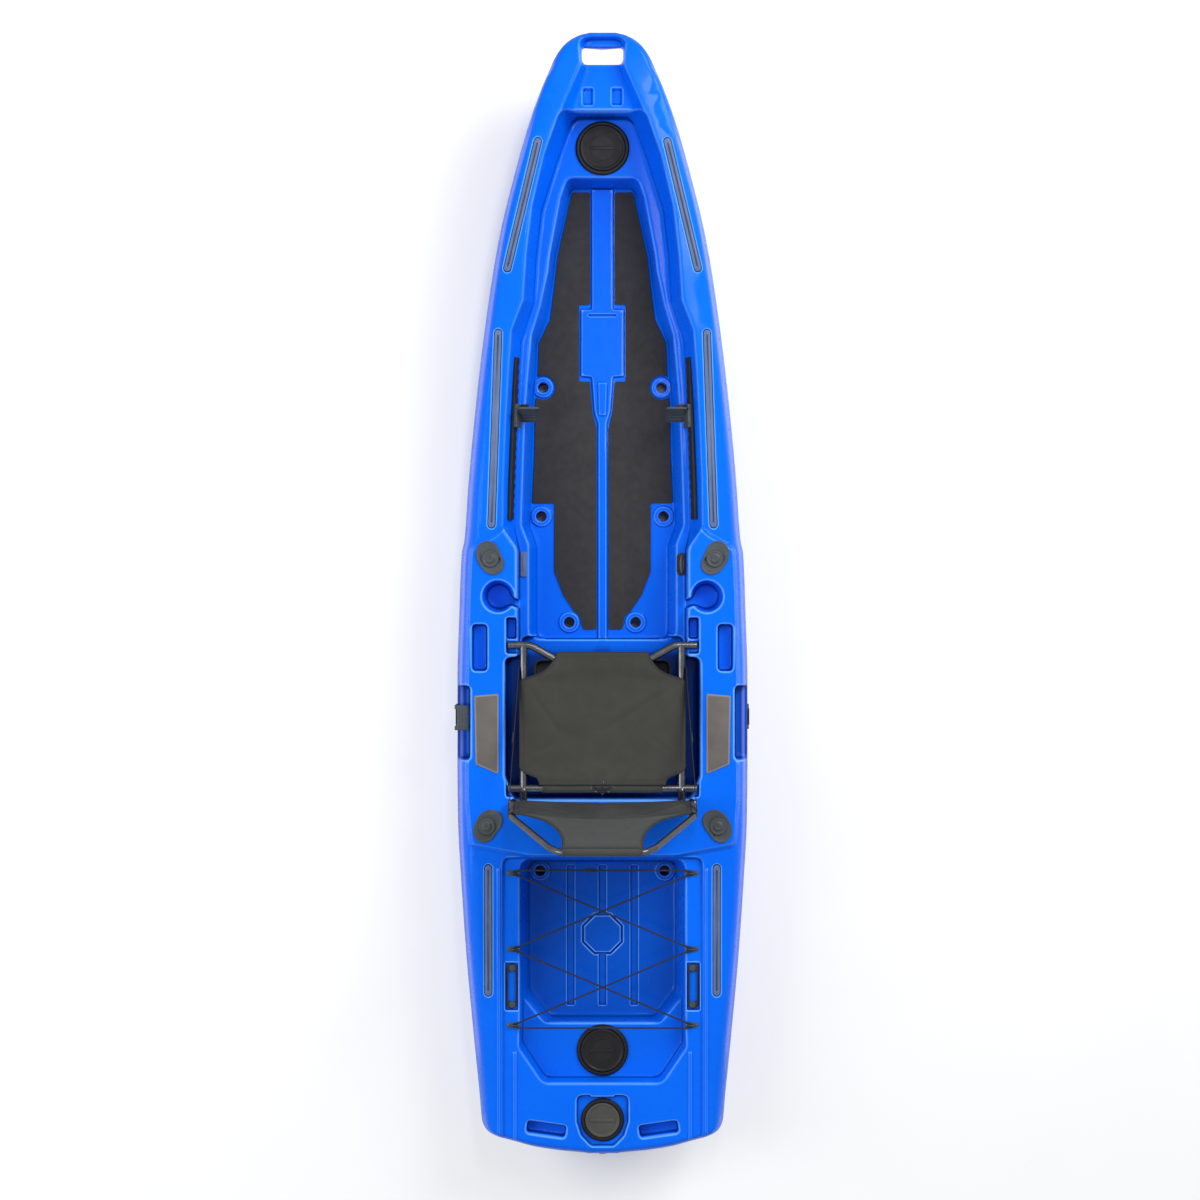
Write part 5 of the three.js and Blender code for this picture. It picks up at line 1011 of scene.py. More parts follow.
class Shape:
    """A piece in the making: points in millimetres, and the faces between them."""

    def __init__(self):
        self.verts = np.zeros((0, 3))
        self.faces = []

    def add(self, verts, faces):
        start = len(self.verts)
        self.verts = np.concatenate([self.verts, np.asarray(verts, float)])
        self.faces += [tuple(start + i for i in f) for f in faces]
        return self

    def join(self, other, matrix=None):
        verts = other.verts
        if matrix is not None:
            verts = verts @ np.array(matrix.to_3x3()).T + np.array(matrix.translation)
        return self.add(verts, other.faces)

    def mirror(self):
        self.verts = self.verts * (-1, 1, 1)
        self.faces = [f[::-1] for f in self.faces]
        return self

    def rings(self, rings, caps=True, closed=False):
        """Faces between rings that have as many points each."""
        count, size = len(rings), len(rings[0])
        faces = []
        for i in range(count if closed else count - 1):
            a, b = i * size, (i + 1) % count * size
            faces += [(a + k, a + (k + 1) % size, b + (k + 1) % size, b + k) for k in range(size)]
        if caps and not closed:
            faces += [tuple(range(size))[::-1], tuple(range((count - 1) * size, count * size))]
        return self.add(np.concatenate(rings), faces)

    def slab(self, outline, low, high, edge=1.0, steps=3):
        """A plate of an outline with rounded edges."""
        rows = []
        for k in range(steps + 1):
            a = k / steps * math.pi / 2
            rows.append((edge * (1 - math.sin(a)), low + edge * (1 - math.cos(a))))
        for k in range(steps + 1):
            a = k / steps * math.pi / 2
            rows.append((edge * (1 - math.cos(a)), high - edge * (1 - math.sin(a))))
        return self.rings([level(inset(outline, d), z) for d, z in rows])

    def turned(self, section, x=0.0, y=0.0, steps=72, closed=False, lobes=0, lobe_depth=0.0, beyond=0.0):
        """Turns a section of (radius, height) about the upright axis, with scallops beyond a radius."""
        angle = np.arange(steps) / steps * 2 * math.pi
        rings = []
        for r, z in section:
            r = max(r, 0.02)
            radius = r + (lobe_depth * (np.cos(angle * lobes) - 1) / 2 if lobes and r > beyond else 0.0)
            rings.append(np.stack([x + radius * np.cos(angle), y + radius * np.sin(angle),
                                   np.full(steps, z)], 1))
        return self.rings(rings, closed=closed)

    def tube(self, points, radius, sides=14, capped=True, squeeze=1.0):
        """A round bar along a line of points, with rounded ends."""
        points = np.asarray(points, float)
        if capped:
            start = (points[0] - points[1]) / np.linalg.norm(points[0] - points[1])
            end = (points[-1] - points[-2]) / np.linalg.norm(points[-1] - points[-2])
            before = [points[0] + start * radius * 0.3, points[0] + start * radius * 0.2]
            beyond = [points[-1] + end * radius * 0.2, points[-1] + end * radius * 0.3]
            points = np.concatenate([before, points, beyond])
        tangent = np.gradient(points, axis=0)
        side = np.cross(tangent[0], (0.31, 0.2, 0.93))
        angle = np.arange(sides) / sides * 2 * math.pi
        rings = []
        for i, (p, t) in enumerate(zip(points, tangent)):
            t = t / max(np.linalg.norm(t), 1e-9)
            side = side - t * side.dot(t)
            side = side / np.linalg.norm(side)
            other = np.cross(t, side)
            share = 0.78 if capped and i in (0, len(points) - 1) else 1.0
            rings.append(p + share * radius * (np.cos(angle)[:, None] * side
                                               + squeeze * np.sin(angle)[:, None] * other))
        return self.rings(rings, caps=capped)

    def subdivided(self, cuts):
        """The same shape with its faces cut smaller, so that it can be bent."""
        work = bmesh.new()
        verts = [work.verts.new(v) for v in self.verts]
        for face in self.faces:
            work.faces.new([verts[i] for i in face])
        bmesh.ops.triangulate(work, faces=work.faces)
        long = [e for e in work.edges if e.calc_length() > 9]
        for _ in range(cuts + 2):
            bmesh.ops.subdivide_edges(work, edges=long, cuts=1)
            bmesh.ops.triangulate(work, faces=work.faces)
            long = [e for e in work.edges if e.calc_length() > 9]
        work.verts.index_update()
        out = Shape().add([tuple(v.co) for v in work.verts], [[v.index for v in f.verts] for f in work.faces])
        work.free()
        return out

    def screw(self, x, y, z, radius=3.2):
        """A pan head with a sunk centre."""
        return self.turned([(0, z - 1), (radius, z - 1), (radius, z + 0.3), (radius * 0.8, z + 0.9),
                            (radius * 0.42, z + 1.0), (radius * 0.34, z + 0.2), (0, z + 0.2)], x, y, steps=18)

    def made(self, name, body, slot, *nodes):
        mesh = bpy.data.meshes.new(name)
        mesh.from_pydata((self.verts * MM).tolist(), [], self.faces)
        work = bmesh.new()
        work.from_mesh(mesh)
        bmesh.ops.recalc_face_normals(work, faces=work.faces)
        work.to_mesh(mesh)
        work.free()
        obj = bpy.data.objects.new(name, mesh)
        bpy.context.scene.collection.objects.link(obj)
        smooth_shaded(obj, 42)
        finished(obj, slot)
        if nodes:
            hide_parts(*nodes)
        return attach(obj, body) if body else obj


def level(outline, z):
    return np.column_stack([outline, np.full(len(outline), z)])


def inset(outline, distance):
    """The outline moved inward, point by point."""
    outline = np.asarray(outline, float)
    after = np.roll(outline, -1, axis=0) - outline
    before = outline - np.roll(outline, 1, axis=0)
    after /= np.maximum(np.linalg.norm(after, axis=1), 1e-6)[:, None]
    before /= np.maximum(np.linalg.norm(before, axis=1), 1e-6)[:, None]
    along = after + before
    x, y = outline[:, 0], outline[:, 1]
    way = np.sign(np.sum(x * np.roll(y, -1) - np.roll(x, -1) * y))
    normal = np.stack([-along[:, 1], along[:, 0]], 1) * way
    return outline + normal * (distance * 2 / np.maximum(np.sum(along * along, axis=1), 0.5))[:, None]


def bent(points, radius, steps=6):
    """An open line with its corners rounded."""
    points = [np.array(p, float) for p in points]
    out = [points[0]]
    for before, p, after in zip(points, points[1:], points[2:]):
        a, b = before - p, after - p
        la, lb = np.linalg.norm(a), np.linalg.norm(b)
        turn = math.acos(np.clip(-a.dot(b) / (la * lb), -1, 1))
        cut = min(radius * math.tan(turn / 2), 0.49 * la, 0.49 * lb)
        a, b = p + a / la * cut, p + b / lb * cut
        for k in range(steps + 1):
            t = k / steps
            out.append((1 - t) ** 2 * a + 2 * t * (1 - t) * p + t * t * b)
    return np.array(out + [points[-1]])


def across(points):
    """A line on the starboard side, carried on to port."""
    points = np.asarray(points, float)
    return np.concatenate([points, points[::-1] * (-1, 1, 1)])


def radial(outline, count=120):
    """The outline's points in even directions from its middle."""
    a = np.asarray(outline, float)
    b = np.roll(a, -1, axis=0)
    out = []
    for k in range(count):
        angle = k / count * 2 * math.pi
        way = np.array([math.cos(angle), math.sin(angle)])
        e = b - a
        cross = way[0] * e[:, 1] - way[1] * e[:, 0]
        safe = np.where(np.abs(cross) < 1e-9, 1e-9, cross)
        reach = (a[:, 0] * e[:, 1] - a[:, 1] * e[:, 0]) / safe
        t = (a[:, 0] * way[1] - a[:, 1] * way[0]) / safe
        hit = reach[(reach > 0) & (t >= -1e-6) & (t <= 1 + 1e-6)]
        out.append(way * hit.max())
    return np.array(out)


def top_outline(node):
    """The edge of a flat CAD piece's top, as a loop of points in millimetres."""
    mesh = NODES[node].data
    co = np.array([v.co for v in mesh.vertices]) / MM
    high = co[:, 2].max()
    count = {}
    place = {}
    for face in mesh.polygons:
        if all(co[i, 2] > high - 0.05 for i in face.vertices):
            keys = [tuple(np.round(co[i, :2], 1)) for i in face.vertices]
            place.update({key: co[i, :2] for key, i in zip(keys, face.vertices)})
            for a, b in zip(keys, keys[1:] + keys[:1]):
                count[a, b] = count.get((a, b), 0) + 1
    following = {a: b for a, b in count if (b, a) not in count}
    start = next(iter(following))
    loop = [start]
    while following[loop[-1]] != start:
        loop.append(following[loop[-1]])
    return np.array([place[key] for key in loop])


def pair(build, node, body="hull_body", slot=None):
    """The same piece to starboard and mirrored to port."""
    for side in ("right", "left"):
        shape = build()
        if side == "left":
            shape.mirror()
        name = f"{node}_{side}"
        shape.made(f"shown_{name}", body.format(side), slot or slot_of(name), name)


GAP = 0.3
HATCH_FLANGE = 14.0
LID_TOP = 14.6
LID_DISH = 2.5


def hatch_rim(radius, lid, y, base):
    """The rim with its collar, held by eight screws."""
    section = rounded([(lid - 14, -28), (lid - 10, -28), (lid - 10, 0), (radius, 0), (radius, 5),
                       (radius - 5, 10), (lid + 1.5, 10), (lid + 1.5, 5), (lid - 14, 5)], 1.4, 3)
    shape = Shape().turned(section + (0, base), 0, y, closed=True, steps=96)
    ring = radius - 7.2
    for k in range(8):
        a = math.radians(22.5 + 45 * k)
        shape.screw(ring * math.cos(a), y + ring * math.sin(a), base + 9.6, 2.2)
    return shape


def hatch_seal(lid, y, base):
    angle = np.arange(16) / 16 * 2 * math.pi
    section = np.stack([lid - 4 + 2.5 * np.cos(angle), base + 6.8 + 1.5 * np.sin(angle)], 1)
    return Shape().turned(section, 0, y, closed=True, steps=96)


def hatch_lid(lid, y, base):
    """A threaded skirt below, and on top a scalloped edge, ring grooves in a dish, and a bar to turn it."""
    low, top, skirt, dish = 8.6, LID_TOP, lid - 15, LID_TOP - LID_DISH
    thread = [(skirt, low - 4), (skirt + 0.7, low - 5.5), (skirt, low - 7), (skirt, low - 9),
              (skirt + 0.7, low - 10.5), (skirt, low - 12), (skirt, low - 14)]
    section = [(0, low), (skirt - 4, low), (skirt - 4, low - 18), (skirt, low - 18), *thread[::-1],
               (skirt, low), (lid - 1, low), (lid, low + 1), (lid, top - 2), (lid - 0.7, top - 0.6),
               (lid - 2.2, top), (lid - 6, top), (lid - 7.4, top - 0.7), (lid - 9, dish + 0.3),
               (lid - 10, dish)]
    for groove in (lid - 13, lid - 20, lid - 27, lid - 34):
        section += [(groove + 1.1, dish), (groove + 0.4, dish - 0.8), (groove - 0.4, dish - 0.8),
                    (groove - 1.1, dish)]
    section += [(9, dish), (0, dish)]
    shape = Shape().turned(np.array(section) + (0, base), 0, y, steps=216, lobes=36, lobe_depth=1.2,
                           beyond=lid - 4)
    return shape.slab(np.array(stadium(84, 12)) + (0, y), base + top - LID_DISH - 0.4, base + top, 1.1)


def show_hatch(name):
    radius, at, floor = HATCHES[name]
    y, base, lid = at * HL, floor + GAP, radius - HATCH_FLANGE
    node = f"{name}_hatch"
    hatch_rim(radius, lid, y, base).made(f"shown_{name}_rim", "hull_body", "hatch_black", f"{node}_rim")
    hatch_seal(lid, y, base).made(f"shown_{name}_seal", f"{node}_seal_body", "seal_rubber", f"{node}_seal")
    slot = slot_of(f"{node}_lid")
    hatch_lid(lid, y, base).made(f"shown_{name}_lid", f"{node}_lid_body", slot, f"{node}_lid")


def run_frame(run):
    (ax, ay), (bx, by) = at_share(run[0]), at_share(run[1])
    turn = math.atan2(by - ay, bx - ax)
    return math.hypot(bx - ax, by - ay), turn, (ax + bx) / 2, (ay + by) / 2


def gear_track(run):
    """A slotted rail that follows the deck's rise, with screws in its channel."""
    length, turn, x, y = run_frame(run)
    inside = length - 32
    rows = [(length - 1, 21, -11.6), (length, 22, -11), (length, 22, -1), (length - 0.6, 21.4, -0.3),
            (length - 2, 20, 0), (inside + 1, 6.6, 0), (inside, 5.6, -0.5), (inside, 5.6, -2),
            (inside, 11, -2.4), (inside, 11, -6)]
    shape = Shape().rings([level(stadium(a, b, along=12), z) for a, b, z in rows])
    for end in (-1, 1):
        shape.screw(end * (length / 2 - 9), 0, -0.4, 3.4)
    count = int(inside // 90)
    for k in range(count + 1):
        shape.screw((k / count - 0.5) * (inside - 24), 0, -5.6, 2.6)
    flat = placed(shape.verts[:, :2], x, y, turn)
    shape.verts = np.column_stack([flat, deck_height(flat[:, 1]) + shape.verts[:, 2]])
    return shape


def floor_pad():
    outline = rounded(top_outline("floor_pad_right"), 6, 3)
    return Shape().slab(outline, FOOTWELL_FLOOR + GAP, FOOTWELL_FLOOR + 5.3, 1.8)


def side_pad():
    corners = top_outline("side_pad_right")
    low = PLATEAU + GAP
    rows = [(0.5, 0), (0, 0.6), (0, 2.4), (0.6, 3.2), (4.6, 3.4), (6.2, 4.6), (7.4, 5)]
    return Shape().rings([level(rounded(inset(corners, d), 5 - 0.4 * d, 3), low + z) for d, z in rows])


def seat_tray():
    low = SEAT_WELL + GAP
    outline = box_outline(454, 290, 30, 0, -351)
    rows = [(9, 0), (6.5, 0.8), (5, 3), (4, 22), (3, 24.4), (0.5, 25), (0, 25.6), (1, 26), (4.4, 25.9),
            (6.2, 25), (7.2, 22), (8.4, 7), (10, 4.8), (13, 4)]
    shape = Shape().rings([level(inset(outline, d), low + z) for d, z in rows])
    for k in range(-3, 4):
        shape.slab(stadium(216, 9, 54 * k, -351, math.pi / 2), low + 3.6, low + 5.6, 0.9)
    return shape


def bean(count=120):
    angle = np.arange(count) / count * 2 * math.pi
    reach = 48.5 + 9.5 * np.cos(2 * angle) + 2.5 * np.cos(angle) + 1.2 * np.sin(3 * angle)
    return np.stack([reach * np.cos(angle), reach * np.sin(angle)], 1)


def rod_holder(where):
    share_x, share_y, turn = ROD_HOLDERS[where]
    x, y = share_x * HB, share_y * HL
    flange = placed(bean(), 0, 0, math.radians(turn + 90))
    disc = radial(stadium(2, 2, steps=30), 120)
    low = PLATEAU + GAP
    rings = [level(disc * r, z) for r, z in ((21, low - 215), (23, low - 214.4), (24, low - 212), (24, low))]
    rings += [level(inset(flange, d), low + z) for d, z in (
        (1.2, 0), (0.2, 0.5), (0, 1.2), (0, 3.6), (0.6, 4.7), (1.8, 5.3), (4.4, 5.4), (6, 4.4), (8, 4.1))]
    rings += [level(disc * r, z) for r, z in (
        (29, low + 4.1), (28, low + 5), (24.5, low + 4.4), (22, low + 3.4), (21, low + 2), (21, low - 211))]
    shape = Shape().rings(rings)
    for k in (-1, 1):
        a = math.radians(turn + 90)
        shape.screw(k * 45 * math.cos(a), k * 45 * math.sin(a), low + 4.6, 3.4)
    shape.verts += (x, y, 0)
    return shape


def rod_cap(where):
    share_x, share_y, turn = ROD_HOLDERS[where]
    x, y, low = share_x * HB, share_y * HL, PLATEAU + 5.6
    section = [(0, -14), (17.6, -14), (19.4, -12), (19.4, -8), (20.4, -7), (20.4, -5.4), (19.4, -4.4),
               (19.6, 0), (26.4, 0), (27, 0.8), (26.8, 2.6), (25.6, 3.7), (24, 4), (20.6, 3.6), (19.6, 2.6),
               (18.2, 2.6), (17.2, 3.4), (14, 3.9), (12.6, 5.6), (11.6, 7.2), (10.2, 7.9), (7.8, 7.7),
               (6.6, 6.6), (0, 6.4)]
    shape = Shape().turned(np.array(section) + (0, low), x, y, steps=80)
    return shape.slab(stadium(15, 4, x, y, math.radians(turn)), low + 6.2, low + 7.9, 0.8)


RAIL_ENDS = ((0.599, 0.43), (0.638, 0.139))
RAIL_WIDTH = 30.0
RAIL_THICKNESS = 10.0
RAIL_TEETH = 17
PEDAL_SHARE = 0.325


def rail_frame():
    """Along the foot rail aft, up the cockpit's slope, and out of it."""
    (ax, ay), (bx, by) = at_share(RAIL_ENDS[0]), at_share(RAIL_ENDS[1])
    along = Vector((bx - ax, by - ay, 0)).normalized()
    slope = Vector(((COCKPIT_RIM[7][0] - COCKPIT_LEDGE[7][0]) * HB, 0, DECK - LEDGE)).normalized()
    inward = along.cross(slope).normalized()
    up = inward.cross(along)
    middle = Vector(((ax + bx) / 2, (ay + by) / 2, (DECK + LEDGE) / 2)) + inward * 0.8
    frame_matrix = Matrix((along, up, inward)).transposed().to_4x4()
    frame_matrix.translation = middle
    return frame_matrix, math.hypot(bx - ax, by - ay)


def pedal_at(length):
    """The pedal's place along its rail, from the rail's middle."""
    ay, by = RAIL_ENDS[0][1] * HL, RAIL_ENDS[1][1] * HL
    return (ay - PEDAL_SHARE * HL) / (ay - by) * length - length / 2


def foot_rail():
    matrix, length = rail_frame()
    pitch = length / RAIL_TEETH
    half = length / 2
    points = [(-half, RAIL_WIDTH / 2), (-half, -RAIL_WIDTH / 2)]
    for k in range(1, RAIL_TEETH):
        x = k * pitch - half
        points += [(x - pitch / 4, -RAIL_WIDTH / 2), (x - pitch / 5, -RAIL_WIDTH / 2 + 5),
                   (x + pitch / 5, -RAIL_WIDTH / 2 + 5), (x + pitch / 4, -RAIL_WIDTH / 2)]
    points += [(half, -RAIL_WIDTH / 2), (half, RAIL_WIDTH / 2)]
    shape = Shape().slab(rounded(points, 2.2, 3), 0, RAIL_THICKNESS, 1.2)
    for end in (-1, 1):
        shape.screw(end * (half - 8), 2, RAIL_THICKNESS - 0.8, 3.6)
    for k in range(RAIL_TEETH):
        mark = box_outline(pitch * 0.5, 3, 1, (k + 0.5) * pitch - half, 9)
        shape.slab(mark, RAIL_THICKNESS - 1, RAIL_THICKNESS + 0.15, 0.3)
    return Shape().join(shape, matrix)


def foot_pedal():
    """A slider on the rail's face, and a bowed, ribbed tread that leans forward at the top."""
    matrix, length = rail_frame()
    x = pedal_at(length)
    slider = Shape().slab(box_outline(78, 34, 6, x, 0), 10.3, 22.3, 2.2)
    for k in (-1, 1):
        slider.slab(stadium(30, 5, x + k * 24, 8, math.pi / 2), 20, 22.9, 0.8)
    shape = Shape().join(slider, matrix)
    face = matrix @ Vector((x, 0, 22.3))
    tread = Shape().slab(box_outline(69, 94, 12, face.x - 31.5, 47), 0, 7, 2.0)
    for k in range(6):
        tread.slab(stadium(50, 5, face.x - 32, 13 + 13.6 * k), -1.5, 2, 1.0)
    dense = tread.subdivided(1)
    u, v, w = dense.verts.T
    t = v / 94
    bow = (t - 0.5) * 38 + 9 * np.sin(math.pi * t)
    dense.verts = np.column_stack([u, face.y + bow + w, 224 + v])
    return shape.join(dense)


def pedal_catch():
    matrix, length = rail_frame()
    x = pedal_at(length) - 30
    lever = Shape().slab(rounded([(-15, -2.5), (15, -2.5), (15, 2.5), (-15, 2.5)], 2.4, 4), -9, 9, 0.9)
    for k in range(3):
        lever.join(Shape().slab(stadium(3, 2.4, 12 - 4.4 * k, 2.2), -7.5, 7.5, 0.6))
    stand = Matrix(((0, 0, -1, x), (0, 1, 0, -8.5), (1, 0, 0, 22.9 + 15), (0, 0, 0, 1)))
    return Shape().join(lever, matrix @ stand)


SIDE_HANDLE_Y = -0.216 * HL
HANDLE_OUT = HB + 4.5
HANDLE_PIVOT = 178


def webbing_arm(y, from_z, to_z, inboard=0.0):
    """A strap on the hull's side, with a bend inboard at its top if it carries a raised grip."""
    section = rounded([(-6.3, -1.5), (6.3, -1.5), (6.3, 1.5), (-6.3, 1.5)], 0.8, 2)
    line = [(HANDLE_OUT - 1.5, from_z), (HANDLE_OUT - 1.5, to_z)]
    if inboard:
        line = list(bent(line + [(HANDLE_OUT - inboard, to_z)], 5, 4))
    line = np.array(line)
    tangent = np.gradient(line, axis=0)
    tangent /= np.linalg.norm(tangent, axis=1)[:, None]
    rings = []
    for (x, z), (tx, tz) in zip(line, tangent):
        rings.append(np.stack([x - tz * section[:, 1], y + section[:, 0], z + tx * section[:, 1]], 1))
    return Shape().rings(rings)


def add_arms(shape, from_z, to_z, inboard=0.0):
    """Both straps of a side handle, and the bar that they turn on."""
    y = SIDE_HANDLE_Y
    for k in (-34.6, 34.6):
        shape.join(webbing_arm(y + k, from_z, to_z, inboard))
    return shape.tube([(HB + 3, y - 41, HANDLE_PIVOT), (HB + 3, y + 41, HANDLE_PIVOT)], 2.2, 10)


def side_handle_up():
    x, y = HANDLE_OUT - 28, SIDE_HANDLE_Y
    shape = Shape().slab(box_outline(40, 82, 7, x, y), 276, 289.4, 4.5, 5)
    for k in range(4):
        shape.slab(stadium(66, 5, x + (k - 1.5) * 8.4, y, math.pi / 2), 287.5, 290.4, 1.4)
    return add_arms(shape, 176, 285.5, 28)


def on_side(x, z):
    """Stands a flat shape upright against the hull's side, at the side handle."""
    return Matrix(((0, 0, 1, x), (1, 0, 0, SIDE_HANDLE_Y), (0, 1, 0, z), (0, 0, 0, 1)))


def side_handle_down():
    grip = Shape().slab(box_outline(82, 40, 7), 0, 13.4, 4.5, 5)
    for k in range(4):
        grip.slab(stadium(66, 5, 0, (k - 1.5) * 8.4), 12, 14.4, 1.4)
    return add_arms(Shape().join(grip, on_side(HANDLE_OUT - 14, 66 + 20)), 70, 180)


def side_handle_anchor():
    plate = Shape().slab(box_outline(56, 24, 6), 0, 6, 1.8)
    for k in (-1, 1):
        plate.screw(17 * k, 0, 5.6, 3.4)
    return Shape().join(plate, on_side(HB + GAP, HANDLE_PIVOT))


def rear_handle():
    x, y = at_share(REAR_HANDLE)
    low = STERN_BAND - 13 + GAP
    outer = radial(stadium(148, 34, turn=math.pi / 2, steps=14), 160)
    inner = radial(box_outline(24, 100, 6, turn=0), 160)
    rows = [(outer, 3, 0), (outer, 1, 0.7), (outer, 0, 2.6), (outer, 0, 6.6), (outer, 0.9, 8.2),
            (outer, 2.4, 9),
            (inner, -1.4, 9), (inner, -0.4, 8.3), (inner, 0, 7), (inner, 0, 1.6), (inner, -1, 0)]
    rings = [level(inset(line, d) + (x, y), low + z) for line, d, z in rows]
    return Shape().rings(rings, closed=True)


def rear_handle_blocks():
    """The handle's thick ends, with ribs to pull by."""
    x, y = at_share(REAR_HANDLE)
    top = STERN_BAND - 4 + GAP
    shape = Shape()
    for end in (-1, 1):
        shape.slab(box_outline(19, 20, 8, x - 2.5, y + end * 60), top - 3, top + 1.1, 1.4)
        for k in range(3):
            shape.slab(stadium(12, 2.6, x - 3, y + end * 60 + (k - 1) * 5), top + 0.4, top + 2.2, 0.8)
    return shape


EYES = (-0.494, -0.63, -0.766)
EYE_SIDE = 0.608 * HB
CORD_TOP = STERN_BAND + 6.6
CORD_RADIUS = 3.0
HOOK = (-0.085 * HB, EYES[0] * HL + 9)


def pad_eye(share):
    base = STERN_BAND + GAP
    x, y = EYE_SIDE, share * HL
    shape = Shape().slab(stadium(44, 19, x, y), base, base + 3, 1.2)
    arch = [(x - 10, y, base + 1)]
    for k in range(13):
        a = math.pi * (1 - k / 12)
        arch.append((x + 10 * math.cos(a), y, base + 6 + 9.4 * math.sin(a)))
    arch.append((x + 10, y, base + 1))
    return shape.tube(arch, 2.2, 10)


def eye_screws():
    """The bright screws of all six eyes, two in each."""
    shape = Shape()
    for share in EYES:
        for k in (-16.5, 16.5):
            shape.screw(EYE_SIDE + k, share * HL, STERN_BAND + GAP + 2.6, 3.6)
    return shape.join(Shape().join(shape).mirror())


def shock_cord():
    """One loop laced through the six eyes and back to its hook."""

    def eye(side, which, heading):
        y = EYES[which] * HL
        inner = EYE_SIDE - 18
        return [(side * inner, y - heading * 9, CORD_TOP), (side * EYE_SIDE, y - heading * 4.5, CORD_TOP),
                (side * EYE_SIDE, y + heading * 4.5, CORD_TOP), (side * inner, y + heading * 9, CORD_TOP)]

    def crossing(which, lift):
        return [(0, (EYES[which] + EYES[which + 1]) / 2 * HL, CORD_TOP + lift * 3.3)]

    hook = np.array((*HOOK, CORD_TOP))
    aft = [*eye(-1, 0, -1), *crossing(0, 1), *eye(1, 1, -1), *crossing(1, 1), *eye(-1, 2, -1)]
    forward = [*eye(1, 2, 1), *crossing(1, -1), *eye(-1, 1, 1), *crossing(0, -1), *eye(1, 0, 1)]
    route = [hook - (20.3, 0, 0), *aft, *forward, hook + (20.3, 0, 0)]
    line = resampled(bent(route, 7, 5), 6, closed=False)
    shape = Shape().tube(line, CORD_RADIUS, 12)
    obj = shape.made("shown_shock_cord", "hull_body", "shock_cord", "shock_cord")
    ring = np.arange(len(shape.verts)) // 12
    add_values(obj, "run", ring * 6.0)
    add_values(obj, "turn", np.arange(len(shape.verts)) % 12 / 12)


def cord_hook():
    x, y = HOOK
    shape = Shape().slab(stadium(40, 12, x, y), CORD_TOP - 3.3, CORD_TOP + 3.3, 2.6, 5)
    for k in (-1, 1):
        ring = [(3.0, 3.1), (4.2, 3.2), (4.2, 3.9), (3.0, 3.9)]
        shape.turned([(r, CORD_TOP + z) for r, z in ring], x + 12 * k, y, 24, closed=True)
    return shape.slab(stadium(14, 3, x, y), CORD_TOP + 2.8, CORD_TOP + 3.9, 0.5)


def drain_plug():
    section = [(0, 0.6), (9, 0.6), (10, 0), (14.6, 0), (16, 1.4), (16, 4.2), (15.4, 5), (8, 5), (8, 8),
               (7.2, 9),
               (8, 10), (7.2, 11.5), (8, 13), (7.2, 14.5), (8, 16), (7.2, 17.5), (8, 19), (7, 23), (0, 23)]
    plug = Shape().turned(section, steps=96, lobes=24, lobe_depth=1.0, beyond=15.5)
    plug.slab(stadium(18, 4), -0.1, 1.2, 0.5)
    aft = Matrix(((1, 0, 0, 0), (0, 0, 1, -HL), (0, -1, 0, 236), (0, 0, 0, 1)))
    return Shape().join(plug, aft)


def ledge_plate():
    x, y = at_share(LEDGE_FITTING)
    low = LEDGE + GAP
    shape = Shape().slab(box_outline(22, 82, 5, -x, y), low, low + 7, 1.6)
    shape.slab(stadium(46, 9, -x, y, math.pi / 2), low + 6, low + 8, 1.0)
    for k in (-1, 1):
        shape.screw(-x, y + k * 32, low + 6.6, 2.8)
    return shape


def cable_port():
    x, y = at_share(LEDGE_FITTING)
    low = LEDGE + GAP
    shape = Shape().slab(stadium(76, 29, x, y, math.pi / 2), low, low + 5, 1.5)
    for k in range(7):
        shape.slab(stadium(9, 2.6, x - 9, y + (k - 3) * 7.4), low + 4, low + 7.6, 0.8)
    return shape


def cable_port_cover():
    """The hood whose mouth opens inboard."""
    x, y = at_share(LEDGE_FITTING)
    x += 2.5
    low = LEDGE + 4.5
    outline = radial(stadium(58, 16, steps=12), 96)
    outline = outline * np.column_stack([np.ones(96), 1 - 0.5 * (np.abs(outline[:, 0]) / 29) ** 2])
    rows = [(0, 0), (0, 4), (0.8, 7.4), (2.6, 9.8), (5, 10.9)]
    rings = [placed(inset(outline, d), x, y, math.pi / 2) for d, z in rows]
    return Shape().rings([level(r, low + z) for r, (d, z) in zip(rings, rows)])


SEAT_TUBE = 12.7
BACK_TUBE = 11.0
SEAT_HEIGHT = 303.0
RAIL_X = 258.0
SEAT_FRONT = -157.0
SEAT_REAR = -625.0
BACK_PIVOT = (-668.0, 345.0)
BACK_BEND = (-702.0, 500.0)
BACK_TOP = (-793.0, 735.0)
BACK_HALF = 290.0
BACK_TOP_HALF = 165.0


